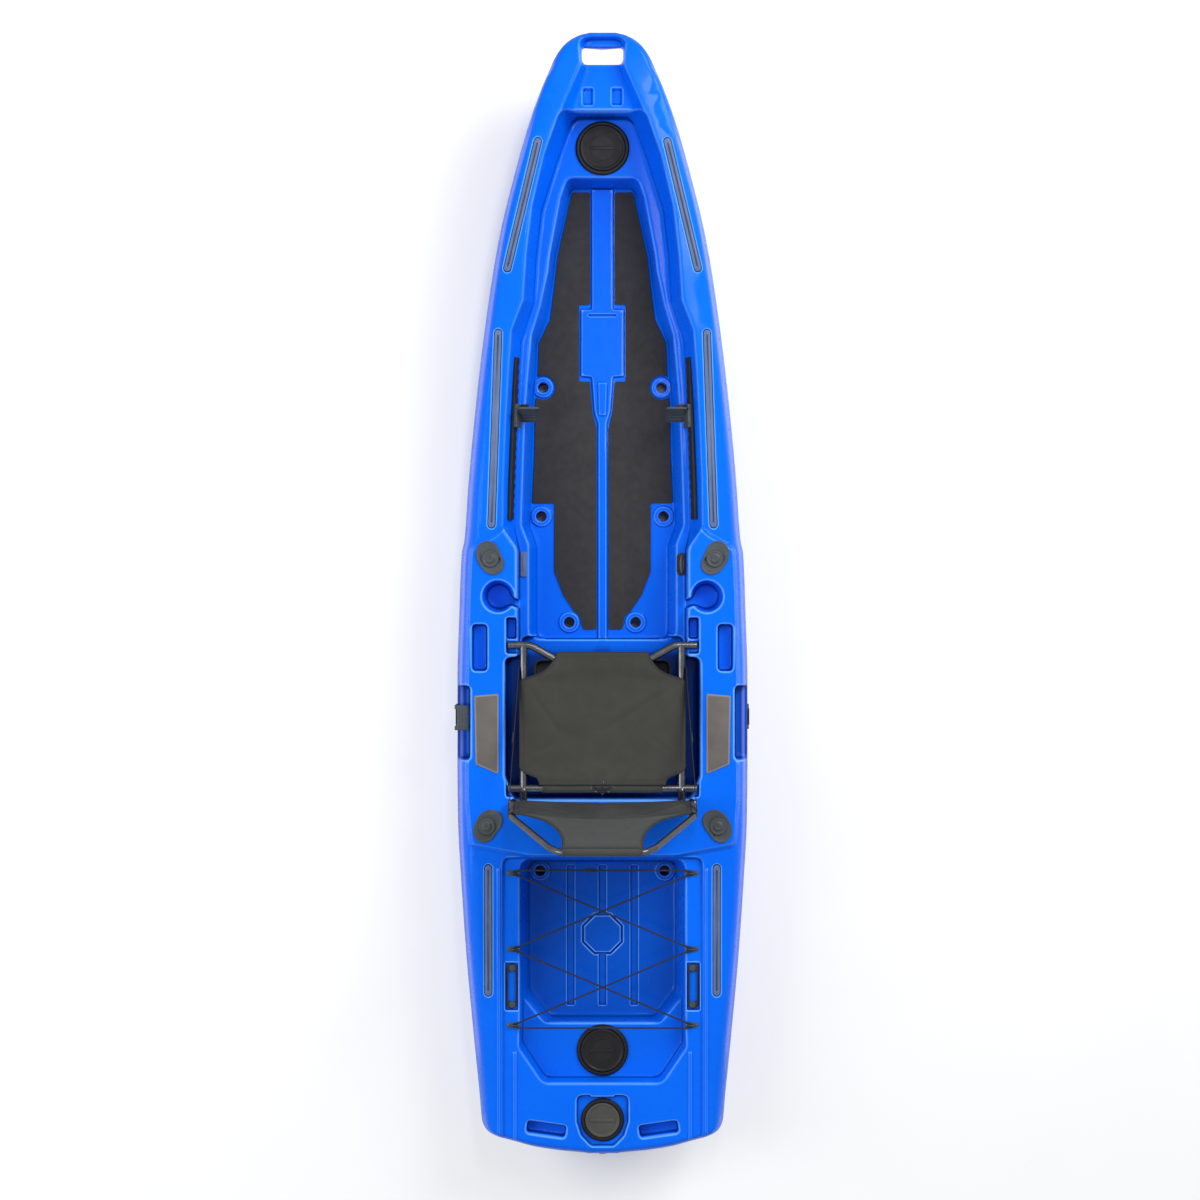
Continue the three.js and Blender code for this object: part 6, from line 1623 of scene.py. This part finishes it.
def seat_base():
    z = SEAT_HEIGHT
    shape = Shape()
    front = bent(across([(306, SEAT_FRONT, z), (236, SEAT_FRONT, z), (150, -205, z)]), 60)
    shape.tube(resampled(front, 12, closed=False), SEAT_TUBE, 20)
    shape.tube([(x, SEAT_REAR, z) for x in (306, 100, -100, -306)], SEAT_TUBE, 20)
    for side in (1, -1):
        rail = bent([(side * RAIL_X, SEAT_FRONT, z), (side * RAIL_X, SEAT_REAR - 12.7, z),
                     (side * RAIL_X, BACK_PIVOT[0], BACK_PIVOT[1] + 10)], 30)
        shape.tube(resampled(rail, 12, closed=False), SEAT_TUBE, 20)
        shape.tube([(side * x, *BACK_PIVOT) for x in (RAIL_X, 300, 305)], 5, 16)
        for y in (SEAT_FRONT, SEAT_REAR):
            for x, reach in ((side * 304.4, 1.4), (side * (RAIL_X + 15.5), 1.6)):
                shape.tube([(x - reach, y, z), (x, y, z), (x + reach, y, z)], SEAT_TUBE + 0.5, 20)
        shape.tube([(side * RAIL_X, SEAT_FRONT - back, z) for back in (17, 14, 12)], SEAT_TUBE + 0.8, 20)
    shape.made("shown_seat_base_frame", "seat_body", "seat_tube", "seat_base_frame")


def back_line():
    side = [(BACK_HALF, BACK_PIVOT[0] + GAP, BACK_PIVOT[1] - BACK_TUBE), (BACK_HALF, *BACK_BEND),
            (BACK_TOP_HALF, BACK_TOP[0] + BACK_TUBE, BACK_TOP[1] - 33), (BACK_TOP_HALF - 33, *BACK_TOP)]
    return resampled(bent(across(side), 34), 10, closed=False)


def seat_back():
    shape = Shape().tube(back_line(), BACK_TUBE, 20)
    for side in (1, -1):
        shape.tube([(side * x, *BACK_PIVOT) for x in (300.6, 302, 304.4)], 8.5, 6)
        shape.tube([(side * x, *BACK_PIVOT) for x in (279.4, 278, 276)], 7, 16)
    shape.made("shown_seat_back_frame", "seat_back_body", "seat_tube", "seat_back_frame")


# Across a sling: how much of its sag each place has
SAG_ACROSS = [(0, 1), (0.3, 0.87), (0.5, 0.7), (0.75, 0.28), (0.9, 0.03), (1, 0)]
# How wide each sling is from its rear or lower edge on, and how deep it sags there
SEAT_WIDTH = [(0, 0.76), (0.05, 0.79), (0.075, 0.88), (0.1, 0.965), (0.125, 0.995), (0.14, 1), (0.775, 1),
              (0.79, 0.985), (0.81, 0.9), (0.83, 0.8), (0.855, 0.715), (0.89, 0.65), (0.93, 0.6),
              (0.96, 0.572), (1, 0.545)]
SEAT_SAG = [(0, 0), (0.1, 0.4), (0.2, 0.8), (0.4, 1), (0.7, 1), (0.8, 0.8), (0.9, 0.3), (1, 0)]
BACK_WIDTH = [(0, 0.94), (0.03, 0.98), (0.33, 0.98), (0.36, 0.965), (0.39, 0.89), (0.43, 0.77), (0.5, 0.64),
              (0.6, 0.54), (0.72, 0.47), (0.85, 0.435), (1, 0.43)]
BACK_SAG = [(0, 0.3), (0.15, 0.85), (0.3, 1), (0.42, 0.8), (0.6, 0.55), (0.8, 0.3), (1, 0)]
# Folds drawn into the slings: from, to, depth and width
SEAT_FOLDS = [((-246, -285), (-150, -430), 3.2, 13), ((240, -290), (60, -400), 2.2, 16),
              ((-150, -430), (-60, -470), 1.6, 18), ((60, -400), (-40, -450), 1.4, 20), ((0, -600),
              (0, -520), 2.0, 14), ((-60, -600), (-110, -540), 1.2, 12), ((70, -600), (120, -545), 1.2, 12),
              ((-250, -520), (-160, -480), 1.5, 12), ((250, -530), (170, -470), 1.5, 12)]
BACK_FOLDS = [((-270, 400), (-150, 470), 1.8, 14), ((270, 400), (150, 470), 1.8, 14),
              ((0, 380), (0, 440), 1.6, 16), ((-120, 560), (-30, 640), 1.2, 20), ((120, 560),
              (30, 650), 1.2, 20)]
SHEET_THICK = 1.8


def folds(x, y, rows):
    out = np.zeros(x.shape)
    for (ax, ay), (bx, by), depth, width in rows:
        ex, ey = bx - ax, by - ay
        t = np.clip(((x - ax) * ex + (y - ay) * ey) / (ex * ex + ey * ey), -0.3, 1.3)
        d = np.hypot(x - ax - t * ex, y - ay - t * ey)
        crest = depth * np.exp(-(d / width) ** 2) * np.cos(d / width * 1.6)
        out += crest * np.clip(1.2 - np.abs(t - 0.5), 0, 1)
    return out


def along_line(at, low, high):
    """The place aft on the line between two (place, height) points."""
    return low[0] + (at - low[1]) / (high[1] - low[1]) * (high[0] - low[0])


def sag(u, v, table):
    """How far a sling hangs in, from its middle to its sides and along its run."""
    return smooth(SAG_ACROSS, np.abs(u)) * smooth(table, v) * 20


def seat_surface(u, v):
    rear, front = SEAT_REAR + 13, -206 + 25.4
    y = rear + v * (front - rear)
    half = smooth(SEAT_WIDTH, v) * (RAIL_X + 11.5)
    x = u * half
    wave = folds(x, y, SEAT_FOLDS) * np.clip((1 - np.abs(u)) * 6, 0, 1)
    z = SEAT_HEIGHT + 14.6 - sag(u, v, SEAT_SAG) - wave
    drop = np.clip(np.abs(x) - RAIL_X, 0, 13.9)
    z -= 14.2 - np.sqrt(np.maximum(14.2 ** 2 - drop ** 2, 0))
    return np.stack([x, y, z], -1)


def back_surface(u, v):
    z = 375 + v * (BACK_TOP[1] - 375)
    upper = z > BACK_BEND[1]
    soft = np.clip((z - BACK_BEND[1] + 25) / 50, 0, 1)
    frame_y = along_line(z, BACK_PIVOT, BACK_BEND) * (1 - soft) + along_line(z, BACK_BEND, BACK_TOP) * soft
    x = u * smooth(BACK_WIDTH, v) * BACK_HALF
    offset = (BACK_TUBE + 1.6) * np.where(upper, 1.07, 1.02)
    wave = 1.6 * np.sin(x / 38 + z / 60) * np.exp(-((z - 498) / 16) ** 2) + folds(x, z, BACK_FOLDS)
    wave = wave * np.clip((1 - np.abs(u)) * 6, 0, 1)
    return np.stack([x, frame_y + offset - sag(u, v, BACK_SAG) - wave, z], -1)


def sheet_grid(surface, wide=90, tall=100):
    u, v = np.meshgrid(np.linspace(-1, 1, wide), np.linspace(0, 1, tall))
    return surface(u, v)


def sling(name, surface, body, slot, node):
    """One layer of stretched fabric, bound along its edges, with two rows of stitches inside them."""
    points = sheet_grid(surface)
    tall, wide = points.shape[:2]
    shape = Shape()
    faces = [(i * wide + k, i * wide + k + 1, (i + 1) * wide + k + 1, (i + 1) * wide + k)
             for i in range(tall - 1) for k in range(wide - 1)]
    shape.add(points.reshape(-1, 3), faces)
    mesh = shape.made(name, body, slot, node)
    thickened(mesh, SHEET_THICK)
    edge = np.concatenate([points[0], points[1:, -1], points[-1, -2::-1], points[-2:0:-1, 0]])
    binding = Shape().rings(loop_rings(edge, 2.0, 2.4, 8), caps=False, closed=True)
    binding = binding.made(f"{name}_binding", body, "webbing")
    thread = Shape()
    for v in (0.02, 0.035, 0.965, 0.98):
        stitches(thread, surface, [(u, v) for u in np.linspace(-0.97, 0.97, 500)])
    for u in (0.945, 0.965):
        for side in (-1, 1):
            stitches(thread, surface, [(side * u, v) for v in np.linspace(0.03, 0.97, 500)])
    thread = thread.made(f"{name}_stitches", body, "webbing")
    return mesh


def loop_rings(points, thick, wide, sides):
    """Rings of a flattened tube round a closed line, lying along it."""
    points = np.asarray(points, float)
    tangent = np.roll(points, -1, axis=0) - np.roll(points, 1, axis=0)
    tangent /= np.maximum(np.linalg.norm(tangent, axis=1), 1e-9)[:, None]
    up = np.tile((0.0, 0.35, 0.94), (len(points), 1))
    side = np.cross(tangent, up)
    side /= np.linalg.norm(side, axis=1)[:, None]
    up = np.cross(side, tangent)
    angle = np.arange(sides) / sides * 2 * math.pi
    return [p + wide * np.cos(angle)[:, None] * s + thick * np.sin(angle)[:, None] * u
            for p, s, u in zip(points, side, up)]


def stitches(shape, surface, places, length=4.2, pitch=6.4):
    """Short threads that lie on the sheet along a line of places."""
    u, v = np.array(places).T
    line = surface(u, v)
    ahead = surface(u, v + 1e-3) - line
    beside = surface(u + 1e-3, v) - line
    up = np.cross(beside, ahead)
    up *= np.sign(up[:, 2:3] + up[:, 1:2] + 1e-9) / np.maximum(np.linalg.norm(up, axis=1), 1e-9)[:, None]
    run = np.concatenate([[0], np.cumsum(np.linalg.norm(np.diff(line, axis=0), axis=1))])
    for start in np.arange(3, run[-1] - length, pitch):
        at = [start, start + length / 2, start + length]
        p = np.stack([np.interp(at, run, line[:, k]) for k in range(3)], 1)
        n = np.stack([np.interp(at, run, up[:, k]) for k in range(3)], 1)
        p += n * np.array([0.7, 1.3, 0.7])[:, None]
        shape.tube(p, 0.55, 5, capped=False)


def apply_modifiers(obj):
    graph = bpy.context.evaluated_depsgraph_get()
    mesh = bpy.data.meshes.new_from_object(obj.evaluated_get(graph))
    obj.modifiers.clear()
    obj.data = mesh


def sleeve(name, line, radius, body, slot):
    """Fabric wrapped round a tube, hemmed at both ends."""
    shape = Shape().tube(line, radius, 22, capped=False)
    line = np.asarray(line, float)
    for a, b in ((line[0], line[1]), (line[-1], line[-2])):
        way = (b - a) / np.linalg.norm(b - a)
        shape.tube([a, a + way * 2, a + way * 4], radius + 0.7, 22, capped=False)
    thickened(shape.made(name, body, slot), 1.0)


def thickened(obj, thickness):
    mod = obj.modifiers.new("thickness", "SOLIDIFY")
    mod.thickness = thickness * MM
    mod.offset = 0
    apply_modifiers(obj)


def side_name(side):
    return "right" if side > 0 else "left"


def show_slings():
    sling("shown_seat_sling", seat_surface, "seat_body", "seat_fabric", "seat_sling")
    for side in (1, -1):
        line = [(side * RAIL_X, y, SEAT_HEIGHT) for y in np.linspace(-553, -276, 12)]
        sleeve(f"seat_sleeve_{side_name(side)}", line, 13.6, "seat_body", "seat_fabric")
    line = [(x, SEAT_REAR, SEAT_HEIGHT) for x in np.linspace(-196, 196, 12)]
    sleeve("seat_sleeve_rear", line, 13.6, "seat_body", "seat_fabric")
    back = sling("shown_back_sling", back_surface, "seat_back_body", "back_fabric", "back_sling")
    # Painted shade on the back's steep lower part, below the bend
    height = np.array([v.co.z for v in back.data.vertices]) / MM
    add_values(back, "painted_shade_band", np.clip((BACK_BEND[1] + 12 - height) / 4, 0, 1))
    for side in (1, -1):
        a = np.array([side * BACK_HALF, *BACK_PIVOT])
        b = np.array([side * BACK_HALF, *BACK_BEND])
        line = [a + (b - a) * t for t in np.linspace(0.22, 0.92, 8)]
        sleeve(f"back_sleeve_{side_name(side)}", line, 12.0, "seat_back_body", "back_fabric")
    line = [(x, *BACK_TOP) for x in np.linspace(-124, 124, 10)]
    sleeve("back_sleeve_top", line, 12.0, "seat_back_body", "back_fabric")


def lacing():
    """Six eyelets round the middle of the seat's rear edge, and the cord laced through them."""
    shape, cord = Shape(), Shape()
    eyelets = []
    for x, y in ((-34, -618), (0, -606), (34, -618), (-20, -632), (20, -632), (0, -640)):
        on_tube = math.sqrt(max(14.6 ** 2 - (y - SEAT_REAR) ** 2, 0))
        z = SEAT_HEIGHT + (on_tube if y < -611 else 15.4)
        eyelets.append(np.array((x, y, max(z, SEAT_HEIGHT + 4))))
        ring = [(2.6, z + 0.2), (4.6, z + 0.1), (4.9, z + 0.9), (4.0, z + 1.5), (2.8, z + 1.2)]
        shape.turned(ring, x, y, 20, closed=True)
    for a, b in ((0, 4), (2, 3), (1, 5), (0, 3), (2, 4), (3, 5), (4, 5)):
        p, q = eyelets[a], eyelets[b]
        middle = (p + q) / 2
        cord.tube(bent([p + (0, 0, 0.5), middle + (0, 0, 6.5), q + (0, 0, 0.5)], 8, 4), 1.5, 8)
    shape.made("seat_eyelets", "seat_body", "seat_tube")
    cord.made("seat_lacing", "seat_body", "shock_cord")


STRAP_SAG = 5.0


def strap_line(side):
    """A recline strap's two ends, the way from the seat's rail to the back, and across its width."""
    low = np.array((side * (RAIL_X + 14.8), -232.0, SEAT_HEIGHT))
    high = np.array((side * (BACK_HALF + 13.1), -693.0, 460.0))
    along = (high - low) / np.linalg.norm(high - low)
    lift = np.cross(along, (1, 0, 0))
    return low, high, along, lift / np.linalg.norm(lift) * np.sign(lift[2])


def joined_to_back(obj):
    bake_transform(obj)


def recline_strap(side):
    """Webbing from the seat's rail up to the back, slightly slack."""
    low, high, _, lift = strap_line(side)
    section = rounded([(-12.5, -0.8), (12.5, -0.8), (12.5, 0.8), (-12.5, 0.8)], 0.6, 2)
    rings = []
    for k in range(61):
        t = k / 60
        middle = low + (high - low) * t - np.array((0, 0, STRAP_SAG)) * 4 * t * (1 - t)
        rings.append(middle + section[:, :1] * lift + section[:, 1:] * np.array((1.0, 0, 0)))
    name = f"recline_strap_{side_name(side)}"
    joined_to_back(Shape().rings(rings).made(f"shown_{name}", None, "webbing", name))


def strap_buckle(side):
    """A ladder buckle on the strap, near its middle."""
    low, high, along, lift = strap_line(side)
    shape = Shape()
    middle = low + along * 240 - np.array((0, 0, STRAP_SAG))
    outward = np.array((side, 0, 0.0))
    for k in (-13, -4, 5, 13):
        p = middle + along * k + outward * 2.0
        shape.tube([p - lift * 14, p, p + lift * 14], 2.2, 10)
    for k in (-1, 1):
        p = middle + lift * 14.5 * k + outward * 2.0
        shape.tube([p - along * 15, p, p + along * 15], 2.4, 10)
    joined_to_back(shape.made(f"strap_buckle_{side_name(side)}", None, "fitting_black"))


def show_one(build, node, slot="fitting_black", body="hull_body"):
    build().made(f"shown_{node}", body, slot, node)


def show_pads():
    pair(floor_pad, "floor_pad")
    pair(side_pad, "side_pad")
    # The side pads' bevelled rims are marked for a painted highlight
    for side in ("right", "left"):
        pad = bpy.data.objects[f"shown_side_pad_{side}"]
        ring = np.arange(len(pad.data.vertices)) * 7 // len(pad.data.vertices)
        add_values(pad, "edge", np.where((ring > 1) & (ring < 5), 1.0, 0.0))


def show_handles():
    pair(side_handle_anchor, "side_handle_anchor")
    show_one(side_handle_down, "side_handle_right", "fitting_grey", "side_handle_right_body")
    show_one(lambda: side_handle_up().mirror(), "side_handle_left", "fitting_grey", "side_handle_left_body")
    pair(rear_handle, "rear_handle", "rear_handle_{}_body")
    for side in ("right", "left"):
        blocks = rear_handle_blocks()
        if side == "left":
            blocks.mirror()
        blocks.made(f"rear_handle_blocks_{side}", f"rear_handle_{side}_body", "fitting_grey")


def show_cord():
    for name, share in zip(("front", "middle", "rear"), EYES):
        pair(lambda: pad_eye(share), f"pad_eye_{name}")
    eye_screws().made("pad_eye_screws", "hull_body", "seat_tube")
    shock_cord()
    show_one(cord_hook, "cord_hook")


def show_pieces():
    for name in HATCHES:
        show_hatch(name)
    for name, run in TRACKS.items():
        pair(lambda: gear_track(run), f"gear_track_{name}")
    for name in ROD_HOLDERS:
        pair(lambda: rod_holder(name), f"rod_holder_{name}")
        pair(lambda: rod_cap(name), f"rod_cap_{name}", f"rod_cap_{name}_{{}}_body")
    show_pads()
    show_one(seat_tray, "seat_tray")
    pair(foot_rail, "foot_rail")
    pair(foot_pedal, "foot_pedal", "foot_pedal_{}_body")
    pair(pedal_catch, "pedal_catch", "pedal_catch_{}_body")
    show_handles()
    show_cord()
    show_one(drain_plug, "drain_plug", body="drain_plug_body")
    show_one(ledge_plate, "ledge_plate", "track_grey")
    show_one(cable_port, "cable_port")
    cable_port_cover().made("cable_port_cover", "hull_body", "foam_light")
    seat_base()
    seat_back()
    show_slings()
    lacing()
    for side in (1, -1):
        recline_strap(side)
        strap_buckle(side)


def area_light(name, place, target, size, power, color=(1, 1, 1)):
    data = bpy.data.lights.new(name, "AREA")
    data.shape = "RECTANGLE"
    data.size, data.size_y = size
    data.energy = power
    data.color = color
    light = bpy.data.objects.new(name, data)
    light.location = place
    light.rotation_euler = (Vector(target) - Vector(place)).to_track_quat("-Z", "Y").to_euler()
    light.visible_camera = False
    bpy.context.scene.collection.objects.link(light)


# Half the width and length of the ellipse round the hull, outside which the floor is seen as plain white
FLOOR_CLEAR = (0.44, 1.85)


def make_floor():
    bpy.ops.mesh.primitive_plane_add(size=60)
    floor = bpy.context.object
    floor.name = "floor"
    f = Finish("floor", (240, 240, 240), 0.9)
    f.tint(f.ramp(f.noise(400, 3.0), 0.3, 0.7, 0.0, 0.3), (246, 246, 246))
    material = f.done()
    glow = f.add("ShaderNodeEmission")
    seen = f.add("ShaderNodeLightPath").outputs["Is Camera Ray"]
    mix = f.add("ShaderNodeMixShader")
    split = f.add("ShaderNodeSeparateXYZ")
    f.link(f.place, split.inputs[0])
    squares = [f.maths("POWER", f.maths("MULTIPLY", split.outputs[k], 1 / half), 2.0)
               for k, half in enumerate(FLOOR_CLEAR)]
    clear = f.ramp(f.maths("ADD", *squares), 0.8, 1.3)
    f.link(f.maths("MULTIPLY", f.maths("MULTIPLY", seen, clear), 0.5), mix.inputs[0])
    f.link(f.shader.outputs[0], mix.inputs[1])
    f.link(glow.outputs[0], mix.inputs[2])
    f.link(mix.outputs[0], f.tree.nodes["Material Output"].inputs["Surface"])
    floor.data.materials.append(material)


def make_world():
    """Soft light on the object, and plain white where the camera, gloss or glass sees it."""
    world = bpy.data.worlds.new("studio")
    bpy.context.scene.world = world
    world.use_nodes = True
    tree = world.node_tree
    tree.nodes.clear()
    path = tree.nodes.new("ShaderNodeLightPath")
    mix = tree.nodes.new("ShaderNodeMixShader")
    out = tree.nodes.new("ShaderNodeOutputWorld")
    seen = path.outputs["Is Camera Ray"]
    for kind in ("Is Glossy Ray", "Is Transmission Ray"):
        most = tree.nodes.new("ShaderNodeMath")
        most.operation = "MAXIMUM"
        tree.links.new(seen, most.inputs[0])
        tree.links.new(path.outputs[kind], most.inputs[1])
        seen = most.outputs[0]
    tree.links.new(seen, mix.inputs[0])
    for place, color, strength in ((1, (0.95, 0.97, 1.0, 1), 0.42), (2, (1, 1, 1, 1), 1.0)):
        light = tree.nodes.new("ShaderNodeBackground")
        light.inputs["Color"].default_value = color
        light.inputs["Strength"].default_value = strength
        tree.links.new(light.outputs[0], mix.inputs[place])
    tree.links.new(mix.outputs[0], out.inputs["Surface"])


def make_stage():
    make_floor()
    make_world()
    area_light("key", (3.6, 3.4, 4.4), (0, 0, 0.2), (2.4, 3.4), 360)
    area_light("fill", (-4.2, -0.6, 3.8), (0, 0, 0.2), (2.6, 4.4), 170, (0.97, 0.98, 1.0))
    area_light("bow_panel", (0.48, 1.6, 5.3), (0.48, 1.6, 0), (0.44, 1.7), 60, (0.9, 0.86, 1.0))
    bpy.context.scene.view_settings.view_transform = "Standard"
    bpy.context.scene.view_settings.look = "None"


show_hull()
show_pieces()
finish_cad_nodes()
make_stage()
